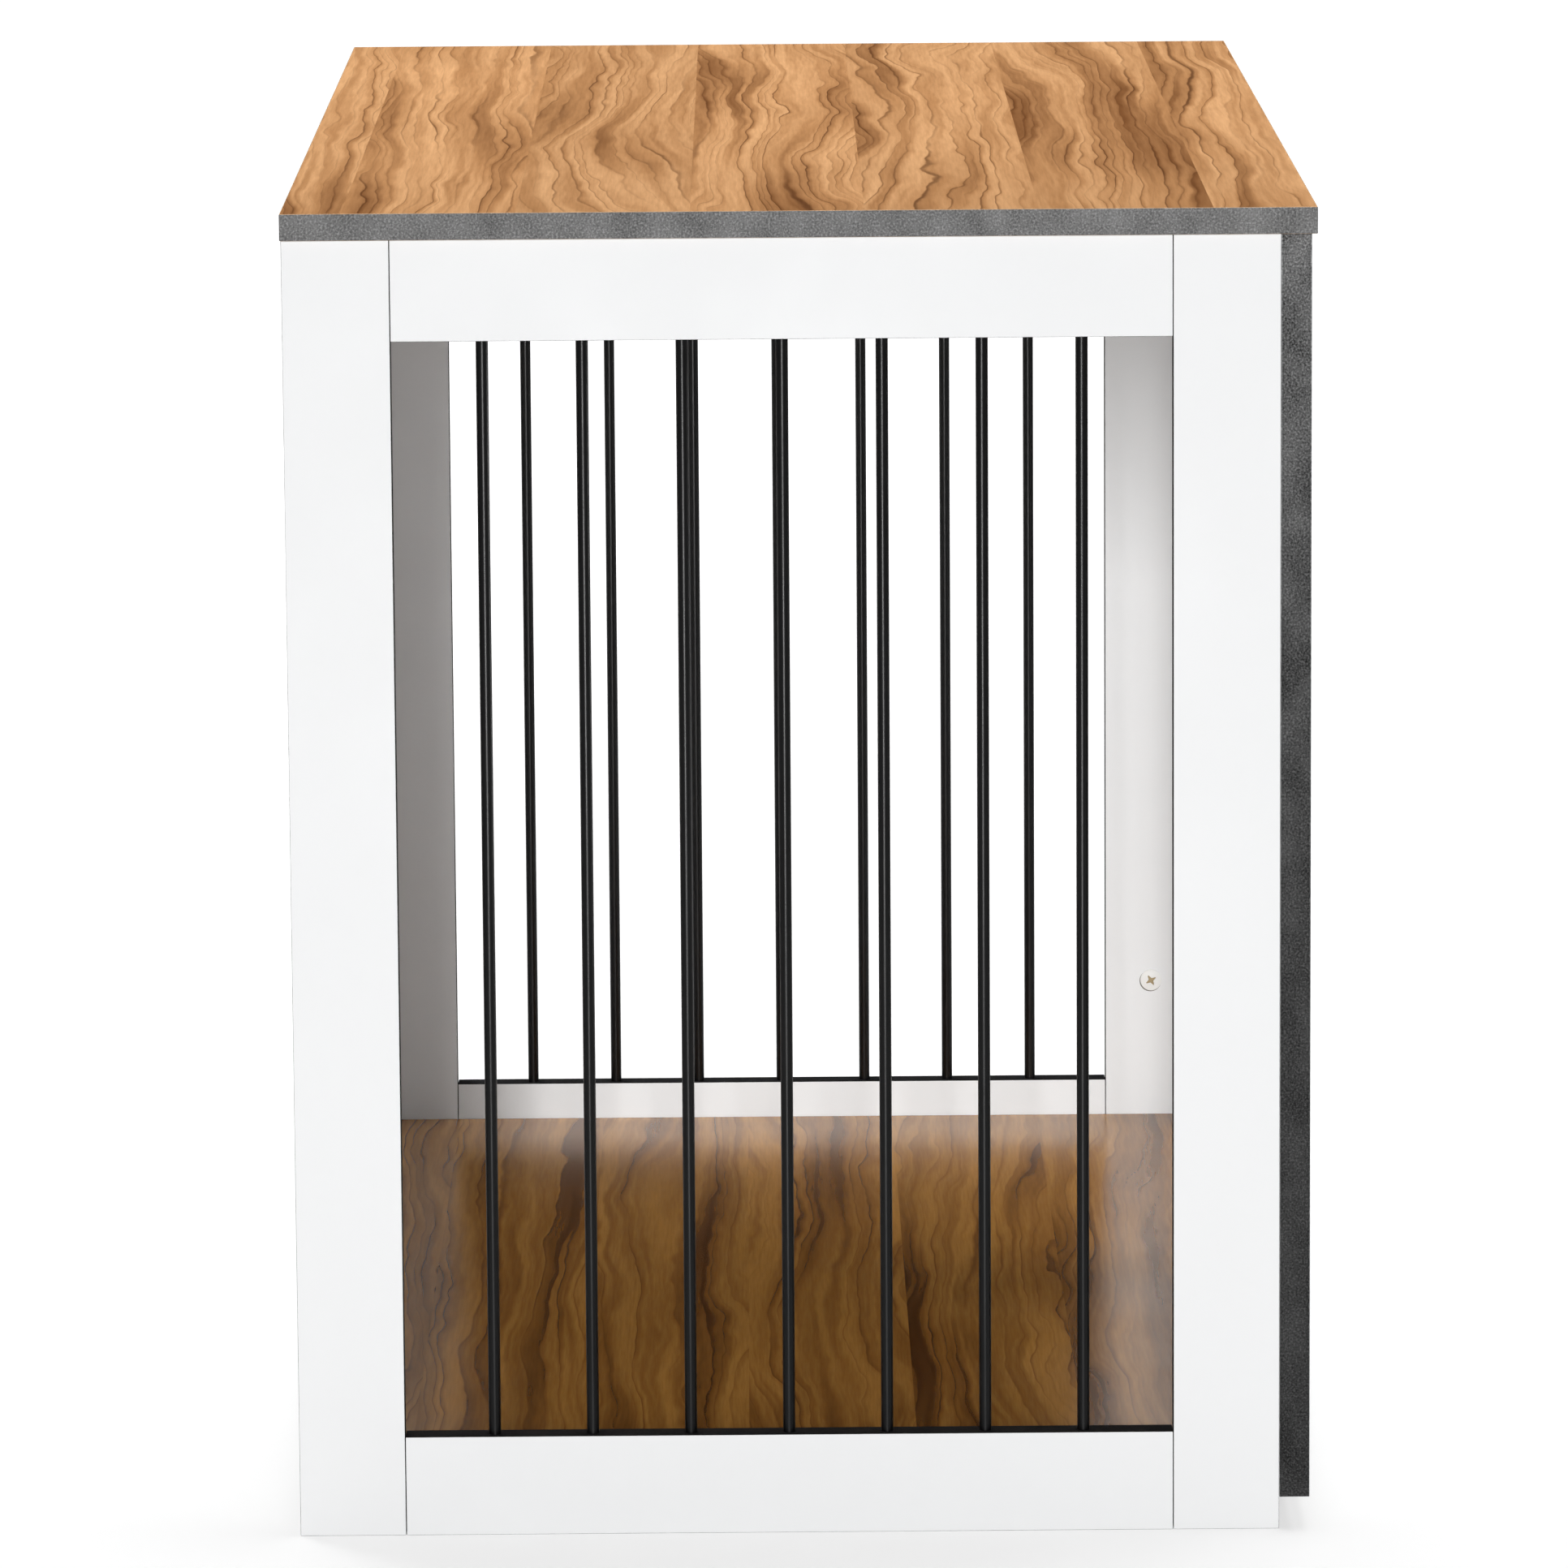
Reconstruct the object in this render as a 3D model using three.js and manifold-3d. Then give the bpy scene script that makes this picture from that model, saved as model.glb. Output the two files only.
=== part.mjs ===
// Dog crate end table: a table top on two barred side frames, with a floor board, a closed
// back and a front frame that carries two hinged barred doors and a sliding bolt.
//
// Millimetres, +Z up. X runs along the table's length and -Y is the front, where the doors
// are. The origin is under the middle of the table, on the surface that it stands on.
// Left and right are as seen by a person who stands in front of the doors.

import * as THREE from "three";
import { mergeVertices } from "three/addons/utils/BufferGeometryUtils.js";
import Module from "manifold-3d";

const wasm = await Module();
wasm.setup();

// ---- driving dimensions ----

// Table top.
const TOP_LENGTH = 900;
const TOP_DEPTH = 500;
const TOP_THICKNESS = 13;
const END_OVERHANG = 3;
const REAR_OVERHANG = 0.5;
const FRONT_OVERHANG = 2.5;

// Boards of the side frames, the front frame, the doors and the back.
const BOARD = 15;
const STILE_WIDTH = 52;
const RAIL_HEIGHT = 49.5;
const SIDE_DEPTH = 482;
const SIDE_HEIGHT = 641;

// Floor board and the height at which the front, the back and the floor start.
const FLOOR_UNDERSIDE = 16;
const FLOOR_THICKNESS = 13;

// Steel bars, planted in blind holes of the rails.
const BAR_RADIUS = 3;
const BAR_PITCH = 48.3;
const BAR_SOCKET_DEPTH = 12;
const SIDE_BARS = 7;
const DOOR_BARS = 5;

// Doors.
const HINGE_GAP = 3;
const MEETING_GAP = 2;
const DOOR_END_GAP = 2;

// Butt hinges, with leaves let into the gap and a barrel on the front plane of the boards.
const LEAF_THICKNESS = 1.2;
const LEAF_WIDTH = 13;
const HINGE_HEIGHT = 60;
const HINGE_INSET = 60;
const BARREL_RADIUS = 2.8;
const PIN_RADIUS = 1.2;

// Door knobs. The outline gives radii at distances from the door's face: a foot, a neck and
// a head with a rounded rim.
const KNOB_LENGTH = 22;
const KNOB_OUTLINE = [[8, 0], [8, 1.5], [5, 4], [5, 9], [11, 13], [12, 16], [10.5, 20], [7, KNOB_LENGTH]];
const KNOB_HEIGHT = 410;
const KNOB_EDGE_DISTANCE = 26;

// Sliding bolt on the left door and its keeper on the right door.
const LATCH_HEIGHT = 330;
const LATCH_PLATE_THICKNESS = 1.5;
const LATCH_PLATE_HEIGHT = 22;
const LATCH_PLATE_LENGTH = 44;
const LATCH_PLATE_INSET = 3;
const KEEPER_PLATE_LENGTH = 14;
const KEEPER_PLATE_INSET = 2;
const SADDLE_LENGTH = 6;
const SADDLE_HEIGHT = 12;
const SADDLE_DEPTH = 10;
const SADDLE_INSET = 1;
const BOLT_RADIUS = 3;
const BOLT_LENGTH = 56;
const BOLT_STANDOFF = 6.5;
const BOLT_END_INSET = 2;
const BOLT_HANDLE_OFFSET = 33;
const BOLT_HANDLE_RADIUS = 2.4;
const BOLT_HANDLE_BALL_RADIUS = 4;
const BOLT_HANDLE_REACH = 16;
const STAPLE_WINDOW = 10;
const STAPLE_THICKNESS = 2;

// Air between a turned piece and the hole or neighbour that it was cut to.
const CLEARANCE = 0.3;
const ROUND_STEPS = 16;
const BAR_STEPS = 12;

// ---- places worked out from the driving dimensions ----

const depthWithKnobs = TOP_DEPTH - FRONT_OVERHANG + KNOB_LENGTH;
const topRearY = depthWithKnobs / 2;
const sideRearY = topRearY - REAR_OVERHANG;
const sideFrontY = sideRearY - SIDE_DEPTH;
const frontFaceY = sideFrontY - BOARD;
const sideOuterX = TOP_LENGTH / 2 - END_OVERHANG;
const sideInnerX = sideOuterX - BOARD;
const railTopZ = SIDE_HEIGHT - RAIL_HEIGHT;
const frontRailTopZ = FLOOR_UNDERSIDE + RAIL_HEIGHT;
const postInnerX = sideOuterX - STILE_WIDTH;
const doorHingeX = postInnerX - HINGE_GAP;
const doorMeetingX = MEETING_GAP / 2;
const doorBottomZ = frontRailTopZ + DOOR_END_GAP;
const doorTopZ = railTopZ - DOOR_END_GAP;
const hingeAxisX = postInnerX - HINGE_GAP / 2;
const boltAxisY = frontFaceY - BOLT_STANDOFF;

// ---- materials ----

function finish(color, roughness, metalness) {
  return new THREE.MeshStandardMaterial({ color, roughness, metalness });
}

const whiteBoard = () => finish(0xf1f1ef, 0.45, 0);
const woodBoard = () => finish(0xc08a52, 0.4, 0);
const blackSteel = () => finish(0x191a1b, 0.4, 0.6);

// ---- geometry helpers ----

const table = new THREE.Group();

// Adds one named piece to the table.
function add(name, geometry, material) {
  const mesh = new THREE.Mesh(geometry, material);
  mesh.name = name;
  table.add(mesh);
}

// A box between two corners.
function block([x0, y0, z0], [x1, y1, z1]) {
  const geometry = new THREE.BoxGeometry(x1 - x0, y1 - y0, z1 - z0);
  geometry.translate((x0 + x1) / 2, (y0 + y1) / 2, (z0 + z1) / 2);
  return geometry;
}

// The same box seen in a mirror on the plane X = 0, when side is -1.
function sidedBlock(side, [x0, y0, z0], [x1, y1, z1]) {
  const lowX = Math.min(side * x0, side * x1);
  const highX = Math.max(side * x0, side * x1);
  return block([lowX, y0, z0], [highX, y1, z1]);
}

// An upright round rod or drill between two heights.
function uprightRod(radius, x, y, z0, z1, steps) {
  const geometry = new THREE.CylinderGeometry(radius, radius, z1 - z0, steps);
  geometry.rotateX(Math.PI / 2);
  geometry.translate(x, y, (z0 + z1) / 2);
  return geometry;
}

// A round rod or drill along X.
function lengthwiseRod(radius, y, z, x0, x1) {
  const geometry = new THREE.CylinderGeometry(radius, radius, x1 - x0, ROUND_STEPS);
  geometry.rotateZ(Math.PI / 2);
  geometry.translate((x0 + x1) / 2, y, z);
  return geometry;
}

// A closed mesh as a solid that can be joined and cut.
function solid(geometry) {
  const bare = geometry.clone();
  bare.deleteAttribute("normal");
  bare.deleteAttribute("uv");
  const merged = mergeVertices(bare, 1e-5);
  const vertProperties = new Float32Array(merged.attributes.position.array);
  const triVerts = new Uint32Array(merged.index.array);
  return new wasm.Manifold(new wasm.Mesh({ numProp: 3, vertProperties, triVerts }));
}

// A cut or joined solid as a geometry.
function shapeOf(body) {
  const mesh = body.getMesh();
  const geometry = new THREE.BufferGeometry();
  const positions = new Float32Array(mesh.vertProperties);
  geometry.setAttribute("position", new THREE.BufferAttribute(positions, 3));
  geometry.setIndex(new THREE.BufferAttribute(new Uint32Array(mesh.triVerts), 1));
  geometry.computeVertexNormals();
  return geometry;
}

// A geometry with others cut out of it.
function cut(geometry, tools) {
  let body = solid(geometry);
  for (const tool of tools) {
    body = body.subtract(solid(tool));
  }
  return shapeOf(body);
}

// ---- barred frames ----

// Places of a row of bars, evenly spaced about a middle.
function barPlaces(count, middle) {
  const places = [];
  for (let i = 0; i < count; i += 1) {
    places.push(middle + (i - (count - 1) / 2) * BAR_PITCH);
  }
  return places;
}

// Blind holes for upright bars in the inner edge of a rail.
function barSockets(points, edgeZ, inwards) {
  const deepZ = edgeZ + inwards * BAR_SOCKET_DEPTH;
  const openZ = edgeZ - inwards;
  const low = Math.min(deepZ, openZ);
  const high = Math.max(deepZ, openZ);
  const radius = BAR_RADIUS + CLEARANCE;
  return points.map(([x, y]) => uprightRod(radius, x, y, low, high, BAR_STEPS));
}

// Upright bars between a lower and an upper rail.
function addBars(prefix, points, lowerZ, upperZ) {
  const reach = BAR_SOCKET_DEPTH - CLEARANCE;
  points.forEach(([x, y], i) => {
    const bar = uprightRod(BAR_RADIUS, x, y, lowerZ - reach, upperZ + reach, BAR_STEPS);
    add(`${prefix}_bar_${i + 1}`, bar, blackSteel());
  });
}

// One side frame: two full-height stiles, two rails between them and upright bars.
function addSideFrame(name, side) {
  const frontStileY = sideFrontY + STILE_WIDTH;
  const rearStileY = sideRearY - STILE_WIDTH;
  const member = (y0, z0, y1, z1) => sidedBlock(side, [sideInnerX, y0, z0], [sideOuterX, y1, z1]);
  const barX = side * (sideInnerX + BOARD / 2);
  const points = barPlaces(SIDE_BARS, (frontStileY + rearStileY) / 2).map((y) => [barX, y]);
  const topRail = member(frontStileY, railTopZ, rearStileY, SIDE_HEIGHT);
  const bottomRail = member(frontStileY, 0, rearStileY, RAIL_HEIGHT);

  add(`${name}_front_stile`, member(sideFrontY, 0, frontStileY, SIDE_HEIGHT), whiteBoard());
  add(`${name}_rear_stile`, member(rearStileY, 0, sideRearY, SIDE_HEIGHT), whiteBoard());
  add(`${name}_top_rail`, cut(topRail, barSockets(points, railTopZ, 1)), whiteBoard());
  add(`${name}_bottom_rail`, cut(bottomRail, barSockets(points, RAIL_HEIGHT, -1)), whiteBoard());
  addBars(name, points, RAIL_HEIGHT, railTopZ);
}

// ---- hinges ----

// Heights at which the two hinges of a door start.
function hingeBases() {
  return [doorBottomZ + HINGE_INSET, doorTopZ - HINGE_INSET - HINGE_HEIGHT];
}

// Round grooves that make room for the hinge barrels in the edge of a post or a door stile.
function barrelGrooves(side) {
  const radius = BARREL_RADIUS + CLEARANCE;
  const x = side * hingeAxisX;
  return hingeBases().map((base) => {
    const low = base - CLEARANCE;
    const high = base + HINGE_HEIGHT + CLEARANCE;
    return uprightRod(radius, x, frontFaceY, low, high, ROUND_STEPS);
  });
}

// One butt hinge. The frame leaf holds the outer two knuckles and the pin, and the door leaf
// holds the middle knuckle, which turns on the pin.
function addHinge(name, side, base) {
  const third = HINGE_HEIGHT / 3;
  const x = side * hingeAxisX;
  const barrel = (radius, low, high) => {
    return uprightRod(radius, x, frontFaceY, base + low, base + high, ROUND_STEPS);
  };
  const leaf = (nearX, farX) => {
    const top = base + HINGE_HEIGHT;
    return sidedBlock(side, [nearX, frontFaceY, base], [farX, frontFaceY + LEAF_WIDTH, top]);
  };
  const room = BARREL_RADIUS + CLEARANCE;
  const middleRoom = barrel(room, third - CLEARANCE, 2 * third + CLEARANCE);
  const lowerRoom = barrel(room, -1, third + CLEARANCE);
  const upperRoom = barrel(room, 2 * third - CLEARANCE, HINGE_HEIGHT + 1);

  const frameLeaf = solid(leaf(postInnerX - LEAF_THICKNESS, postInnerX))
    .subtract(solid(middleRoom))
    .add(solid(barrel(BARREL_RADIUS, 0, third - CLEARANCE)))
    .add(solid(barrel(BARREL_RADIUS, 2 * third + CLEARANCE, HINGE_HEIGHT)))
    .add(solid(barrel(PIN_RADIUS, 1, HINGE_HEIGHT - 1)));
  const doorLeaf = solid(leaf(doorHingeX, doorHingeX + LEAF_THICKNESS))
    .subtract(solid(lowerRoom))
    .subtract(solid(upperRoom))
    .add(solid(barrel(BARREL_RADIUS, third, 2 * third)))
    .subtract(solid(barrel(PIN_RADIUS + CLEARANCE, 0, HINGE_HEIGHT)));

  add(`${name}_frame_leaf`, shapeOf(frameLeaf), blackSteel());
  add(`${name}_door_leaf`, shapeOf(doorLeaf), blackSteel());
}

// ---- front frame ----

// The fixed frame that the doors hang in: it lies on the front edges of the side frames.
function addFrontFrame() {
  const backY = sideFrontY;
  for (const [name, side] of [["left", -1], ["right", 1]]) {
    const low = [postInnerX, frontFaceY, FLOOR_UNDERSIDE];
    const high = [sideOuterX, backY, SIDE_HEIGHT];
    const post = cut(sidedBlock(side, low, high), barrelGrooves(side));
    add(`front_${name}_post`, post, whiteBoard());
  }
  const topRail = block([-postInnerX, frontFaceY, railTopZ], [postInnerX, backY, SIDE_HEIGHT]);
  const lowCorner = [-postInnerX, frontFaceY, FLOOR_UNDERSIDE];
  const bottomRail = block(lowCorner, [postInnerX, backY, frontRailTopZ]);
  add("front_top_rail", topRail, whiteBoard());
  add("front_bottom_rail", bottomRail, whiteBoard());
}

// ---- doors ----

// A round knob, turned about the Y axis, with its foot on the door's face.
function knob(x, z) {
  const outline = [[0, 0], ...KNOB_OUTLINE, [0, KNOB_LENGTH]];
  const profile = outline.map(([radius, distance]) => new THREE.Vector2(radius, distance));
  const geometry = new THREE.LatheGeometry(profile, ROUND_STEPS);
  geometry.rotateX(Math.PI);
  geometry.translate(x, frontFaceY, z);
  return geometry;
}

// One door: hinge stile, latch stile, two rails, upright bars, two hinges and a knob.
function addDoor(name, side) {
  const backY = frontFaceY + BOARD;
  const hingeStileX = doorHingeX - STILE_WIDTH;
  const latchStileX = doorMeetingX + STILE_WIDTH;
  const member = (x0, z0, x1, z1) => sidedBlock(side, [x0, frontFaceY, z0], [x1, backY, z1]);
  const lowerEdgeZ = doorBottomZ + RAIL_HEIGHT;
  const upperEdgeZ = doorTopZ - RAIL_HEIGHT;
  const middleX = (hingeStileX + latchStileX) / 2;
  const points = barPlaces(DOOR_BARS, middleX).map((x) => [side * x, frontFaceY + BOARD / 2]);
  const hingeStile = member(hingeStileX, doorBottomZ, doorHingeX, doorTopZ);
  const latchStile = member(doorMeetingX, doorBottomZ, latchStileX, doorTopZ);
  const topRail = member(latchStileX, upperEdgeZ, hingeStileX, doorTopZ);
  const bottomRail = member(latchStileX, doorBottomZ, hingeStileX, lowerEdgeZ);
  const knobX = side * (doorMeetingX + KNOB_EDGE_DISTANCE);

  add(`${name}_door_hinge_stile`, cut(hingeStile, barrelGrooves(side)), whiteBoard());
  add(`${name}_door_latch_stile`, latchStile, whiteBoard());
  add(`${name}_door_top_rail`, cut(topRail, barSockets(points, upperEdgeZ, 1)), whiteBoard());
  add(`${name}_door_bottom_rail`, cut(bottomRail, barSockets(points, lowerEdgeZ, -1)), whiteBoard());
  addBars(`${name}_door`, points, lowerEdgeZ, upperEdgeZ);
  add(`${name}_door_knob`, knob(knobX, KNOB_HEIGHT), blackSteel());
  hingeBases().forEach((base, i) => {
    addHinge(`${name}_${i === 0 ? "lower" : "upper"}_hinge`, side, base);
  });
}

// ---- sliding bolt ----

// A plate screwed to a door's face, between two places along X.
function latchPlate(x0, x1) {
  const faceY = frontFaceY - LATCH_PLATE_THICKNESS;
  const half = LATCH_PLATE_HEIGHT / 2;
  return block([x0, faceY, LATCH_HEIGHT - half], [x1, frontFaceY, LATCH_HEIGHT + half]);
}

// A block on a plate, which the bolt passes through.
function saddle(x0) {
  const half = SADDLE_HEIGHT / 2;
  const rootY = frontFaceY - LATCH_PLATE_THICKNESS / 2;
  const noseY = frontFaceY - LATCH_PLATE_THICKNESS - SADDLE_DEPTH;
  return block([x0, noseY, LATCH_HEIGHT - half], [x0 + SADDLE_LENGTH, rootY, LATCH_HEIGHT + half]);
}

// The guide on the left door: a plate with a saddle at each end.
function addLatchGuide() {
  const endX = -doorMeetingX - LATCH_PLATE_INSET;
  const startX = endX - LATCH_PLATE_LENGTH;
  const bore = lengthwiseRod(BOLT_RADIUS + CLEARANCE, boltAxisY, LATCH_HEIGHT, startX - 1, endX + 1);
  const guide = solid(latchPlate(startX, endX))
    .add(solid(saddle(startX + SADDLE_INSET)))
    .add(solid(saddle(endX - SADDLE_INSET - SADDLE_LENGTH)))
    .subtract(solid(bore));
  add("latch_guide", shapeOf(guide), blackSteel());
}

// The keeper on the right door: a plate with a square staple that the bolt's nose enters.
function addLatchKeeper() {
  const startX = doorMeetingX + KEEPER_PLATE_INSET;
  const endX = startX + KEEPER_PLATE_LENGTH;
  const stapleX = startX + SADDLE_INSET;
  const plateY = frontFaceY - LATCH_PLATE_THICKNESS;
  const windowHalf = STAPLE_WINDOW / 2;
  const stapleHalf = windowHalf + STAPLE_THICKNESS;
  const windowY = plateY - STAPLE_WINDOW;
  const stapleLow = [stapleX, windowY - STAPLE_THICKNESS, LATCH_HEIGHT - stapleHalf];
  const stapleHigh = [stapleX + SADDLE_LENGTH, plateY, LATCH_HEIGHT + stapleHalf];
  const windowLow = [startX - 1, windowY, LATCH_HEIGHT - windowHalf];
  const windowHigh = [endX + 1, plateY, LATCH_HEIGHT + windowHalf];
  const keeper = solid(block(stapleLow, stapleHigh))
    .subtract(solid(block(windowLow, windowHigh)))
    .add(solid(latchPlate(startX, endX)));
  add("latch_keeper", shapeOf(keeper), blackSteel());
}

// The bolt, drawn back so that both doors open: a rod with a ball-ended handle.
function addLatchBolt() {
  const noseX = -doorMeetingX - BOLT_END_INSET;
  const tailX = noseX - BOLT_LENGTH;
  const handleX = noseX - BOLT_HANDLE_OFFSET;
  const ballY = boltAxisY - BOLT_HANDLE_REACH + BOLT_STANDOFF;
  const stem = new THREE.CylinderGeometry(
    BOLT_HANDLE_RADIUS, BOLT_HANDLE_RADIUS, boltAxisY - ballY, BAR_STEPS,
  );
  stem.translate(handleX, (boltAxisY + ballY) / 2, LATCH_HEIGHT);
  const ball = new THREE.SphereGeometry(BOLT_HANDLE_BALL_RADIUS, BAR_STEPS, BAR_STEPS / 2);
  ball.translate(handleX, ballY, LATCH_HEIGHT);
  const bolt = solid(lengthwiseRod(BOLT_RADIUS, boltAxisY, LATCH_HEIGHT, tailX, noseX))
    .add(solid(stem))
    .add(solid(ball));
  add("latch_bolt", shapeOf(bolt), blackSteel());
}

// ---- the whole table ----

const topFrontY = topRearY - TOP_DEPTH;
const topLow = [-TOP_LENGTH / 2, topFrontY, SIDE_HEIGHT];
const topHigh = [TOP_LENGTH / 2, topRearY, SIDE_HEIGHT + TOP_THICKNESS];
add("table_top", block(topLow, topHigh), woodBoard());

const backInnerY = sideRearY - BOARD;
const floorTopZ = FLOOR_UNDERSIDE + FLOOR_THICKNESS;
const floorLow = [-sideInnerX, sideFrontY, FLOOR_UNDERSIDE];
add("floor_panel", block(floorLow, [sideInnerX, backInnerY, floorTopZ]), woodBoard());

const backLow = [-sideInnerX, backInnerY, FLOOR_UNDERSIDE];
add("back_panel", block(backLow, [sideInnerX, sideRearY, SIDE_HEIGHT]), whiteBoard());

addSideFrame("left", -1);
addSideFrame("right", 1);
addFrontFrame();
addDoor("left", -1);
addDoor("right", 1);
addLatchGuide();
addLatchKeeper();
addLatchBolt();

export default table;
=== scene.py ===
import math

import bpy
import numpy as np
from bpy.props import FloatProperty, FloatVectorProperty, PointerProperty
from mathutils import Matrix, Vector


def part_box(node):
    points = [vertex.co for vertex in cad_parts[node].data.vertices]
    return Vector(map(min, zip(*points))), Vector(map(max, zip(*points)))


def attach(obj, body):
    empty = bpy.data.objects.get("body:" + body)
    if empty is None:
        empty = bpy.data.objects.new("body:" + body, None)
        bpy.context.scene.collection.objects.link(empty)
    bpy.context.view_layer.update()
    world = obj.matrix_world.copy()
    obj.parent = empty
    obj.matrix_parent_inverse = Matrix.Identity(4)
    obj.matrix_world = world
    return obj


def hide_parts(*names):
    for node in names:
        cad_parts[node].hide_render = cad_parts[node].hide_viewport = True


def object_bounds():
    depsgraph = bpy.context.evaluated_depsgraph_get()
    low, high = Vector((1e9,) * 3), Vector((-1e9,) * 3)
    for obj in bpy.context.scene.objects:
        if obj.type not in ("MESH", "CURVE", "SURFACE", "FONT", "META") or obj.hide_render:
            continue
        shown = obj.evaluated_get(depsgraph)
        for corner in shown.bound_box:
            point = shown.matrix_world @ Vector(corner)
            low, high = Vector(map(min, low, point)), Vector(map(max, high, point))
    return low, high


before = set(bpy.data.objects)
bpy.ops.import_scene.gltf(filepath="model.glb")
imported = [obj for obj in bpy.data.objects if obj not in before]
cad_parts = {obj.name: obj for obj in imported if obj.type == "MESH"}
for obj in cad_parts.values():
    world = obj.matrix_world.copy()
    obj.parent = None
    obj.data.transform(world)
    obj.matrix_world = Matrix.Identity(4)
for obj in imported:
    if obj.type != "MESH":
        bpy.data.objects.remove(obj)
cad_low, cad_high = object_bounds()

bl_info = {
    "name": "Dog crate end table",
    "version": (1, 0, 0),
    "blender": (4, 5, 0),
    "location": "View3D > Sidebar > Crate table",
    "description": "Boards, bars, doors and fittings of a barred dog crate that is a side table",
    "category": "Object",
}

# Metres, +Z up. X runs along the table, -Y is the front with the doors, and the left end,
# at -X, is the one that the camera sees.
MM = 0.001
SIDES = {"left": -1, "right": 1}
LEVELS = ("lower", "upper")
SIDE_BARS = 7
DOOR_BARS = 5

# Places that the frame gives.
FRONT_FACE_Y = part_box("front_left_post")[0].y
FRONT_BACK_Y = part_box("front_left_post")[1].y
SIDE_INNER_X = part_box("right_front_stile")[0].x
SIDE_FRONT_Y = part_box("right_front_stile")[0].y
FRONT_RAIL_LOW_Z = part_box("front_top_rail")[0].z
POST_INNER_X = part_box("front_right_post")[0].x
DOOR_HINGE_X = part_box("right_door_hinge_stile")[1].x
DOOR_TOP_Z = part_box("right_door_hinge_stile")[1].z
HINGE_AXIS_X = (POST_INNER_X + DOOR_HINGE_X) / 2

# Air round a bar in its socket, and round a hinge barrel in the boards' grooves.
SOCKET_AIR = 0.3 * MM
GROOVE_AIR = 0.35 * MM

# Butt hinges. The screws stand at shares of a leaf's height and of its width.
BARREL_RADIUS = 2.8 * MM
PIN_RADIUS = 1.2 * MM
LEAF_THICKNESS = 1.2 * MM
LEAF_CORNER = 1.5 * MM
KNUCKLE_GAP = 0.3 * MM
HINGE_SCREW_STEPS = (1 / 6, 1 / 2, 5 / 6)
HINGE_SCREW_REACH = 0.6
HINGE_SCREW_RADIUS = 2.6 * MM

# Latch: plates, the bolt with its handle, and the straps that the bolt runs through. A
# reach is how far a strap stands out of its plate.
LATCH_PLATE_THICKNESS = 1.5 * MM
LATCH_PLATE_CORNER = 2.5 * MM
BOLT_RADIUS = 3 * MM
BOLT_AIR = 0.3 * MM
BOLT_STANDOFF = 6.5 * MM
HANDLE_OFFSET = 33 * MM
HANDLE_RADIUS = 2.4 * MM
HANDLE_BALL_RADIUS = 4 * MM
STRAP_LENGTH = 6 * MM
STRAP_INSET = 1 * MM
SADDLE_REACH = 10 * MM
SADDLE_HALF_HEIGHT = 6 * MM
STAPLE_REACH = 12 * MM
STAPLE_HALF_HEIGHT = 7 * MM
STAPLE_HALF_WINDOW = 5 * MM

# Cross-recessed fittings on the front stiles' inner faces, each over a dark disc, set low, as its
# painted shadow.
FITTING_RADIUS = 6.1 * MM
FITTING_RISE = 2.2 * MM
FITTING_DOME = 0.8 * MM
FITTING_TURN = 1.03
FITTING_FROM_EDGE = 25.6 * MM
FITTING_HEIGHTS = (108.5 * MM, 532.5 * MM)
SHADOW_DISC_RADIUS = 6.3 * MM

# Magnetic catches, at distances from the table's middle and from the boards' backs.
CATCH_START = 12 * MM
CATCH_END = 44 * MM
CATCH_DEPTH = 13 * MM
CATCH_HEIGHT = 12 * MM
STRIKE_AIR = 1.6 * MM

# The wood print's colours, and what the floor's print keeps of each one's brightness: the floor is
# the top's print, darkened as painted shade inside the crate.
WOOD_COLOURS = ("Light", "Mid", "Dark", "Vein")
FLOOR_SHADES = (1.0, 0.9, 0.66, 1.6)

# The greyer colour of the light that the wood throws on its neighbours, and its share.
BOUNCE_COLOUR = (0.5, 0.46, 0.43)
BOUNCE_SHARE = 0.75

# Edges that turn by more than this stay sharp.
SHARP_ANGLE = math.radians(35)

# The camera's place and turn, from the lines of the table in the photograph.
CAMERA_PLACE = (-4.98399, 0.033753, 1.13902)
CAMERA_YAW = 0.00333224
CAMERA_PITCH = 0.167059
CAMERA_ROLL = 0.00704261
CAMERA_LENS = 217.294
CAMERA_SENSOR = 36.0

# The point that the lamps face, and the wide lamp's distance and height over that point.
AIM = (0.0, 0.0, 0.35)
KEY_DISTANCE = 40.0
KEY_RISE = 6.65

# The floor's half width, and where its glow for the camera starts to grow and is whole.
FLOOR_REACH = 60.0
GLOW_START = 0.9
GLOW_END = 3.5

# The camera and mirrored rays see a white room up to the first angle over the horizon, and
# past the second one only this share of it.
ROOM_EDGE = (math.radians(5.2), math.radians(8))
ROOM_OVERHEAD = 0.03


# ---- settings ----


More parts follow.
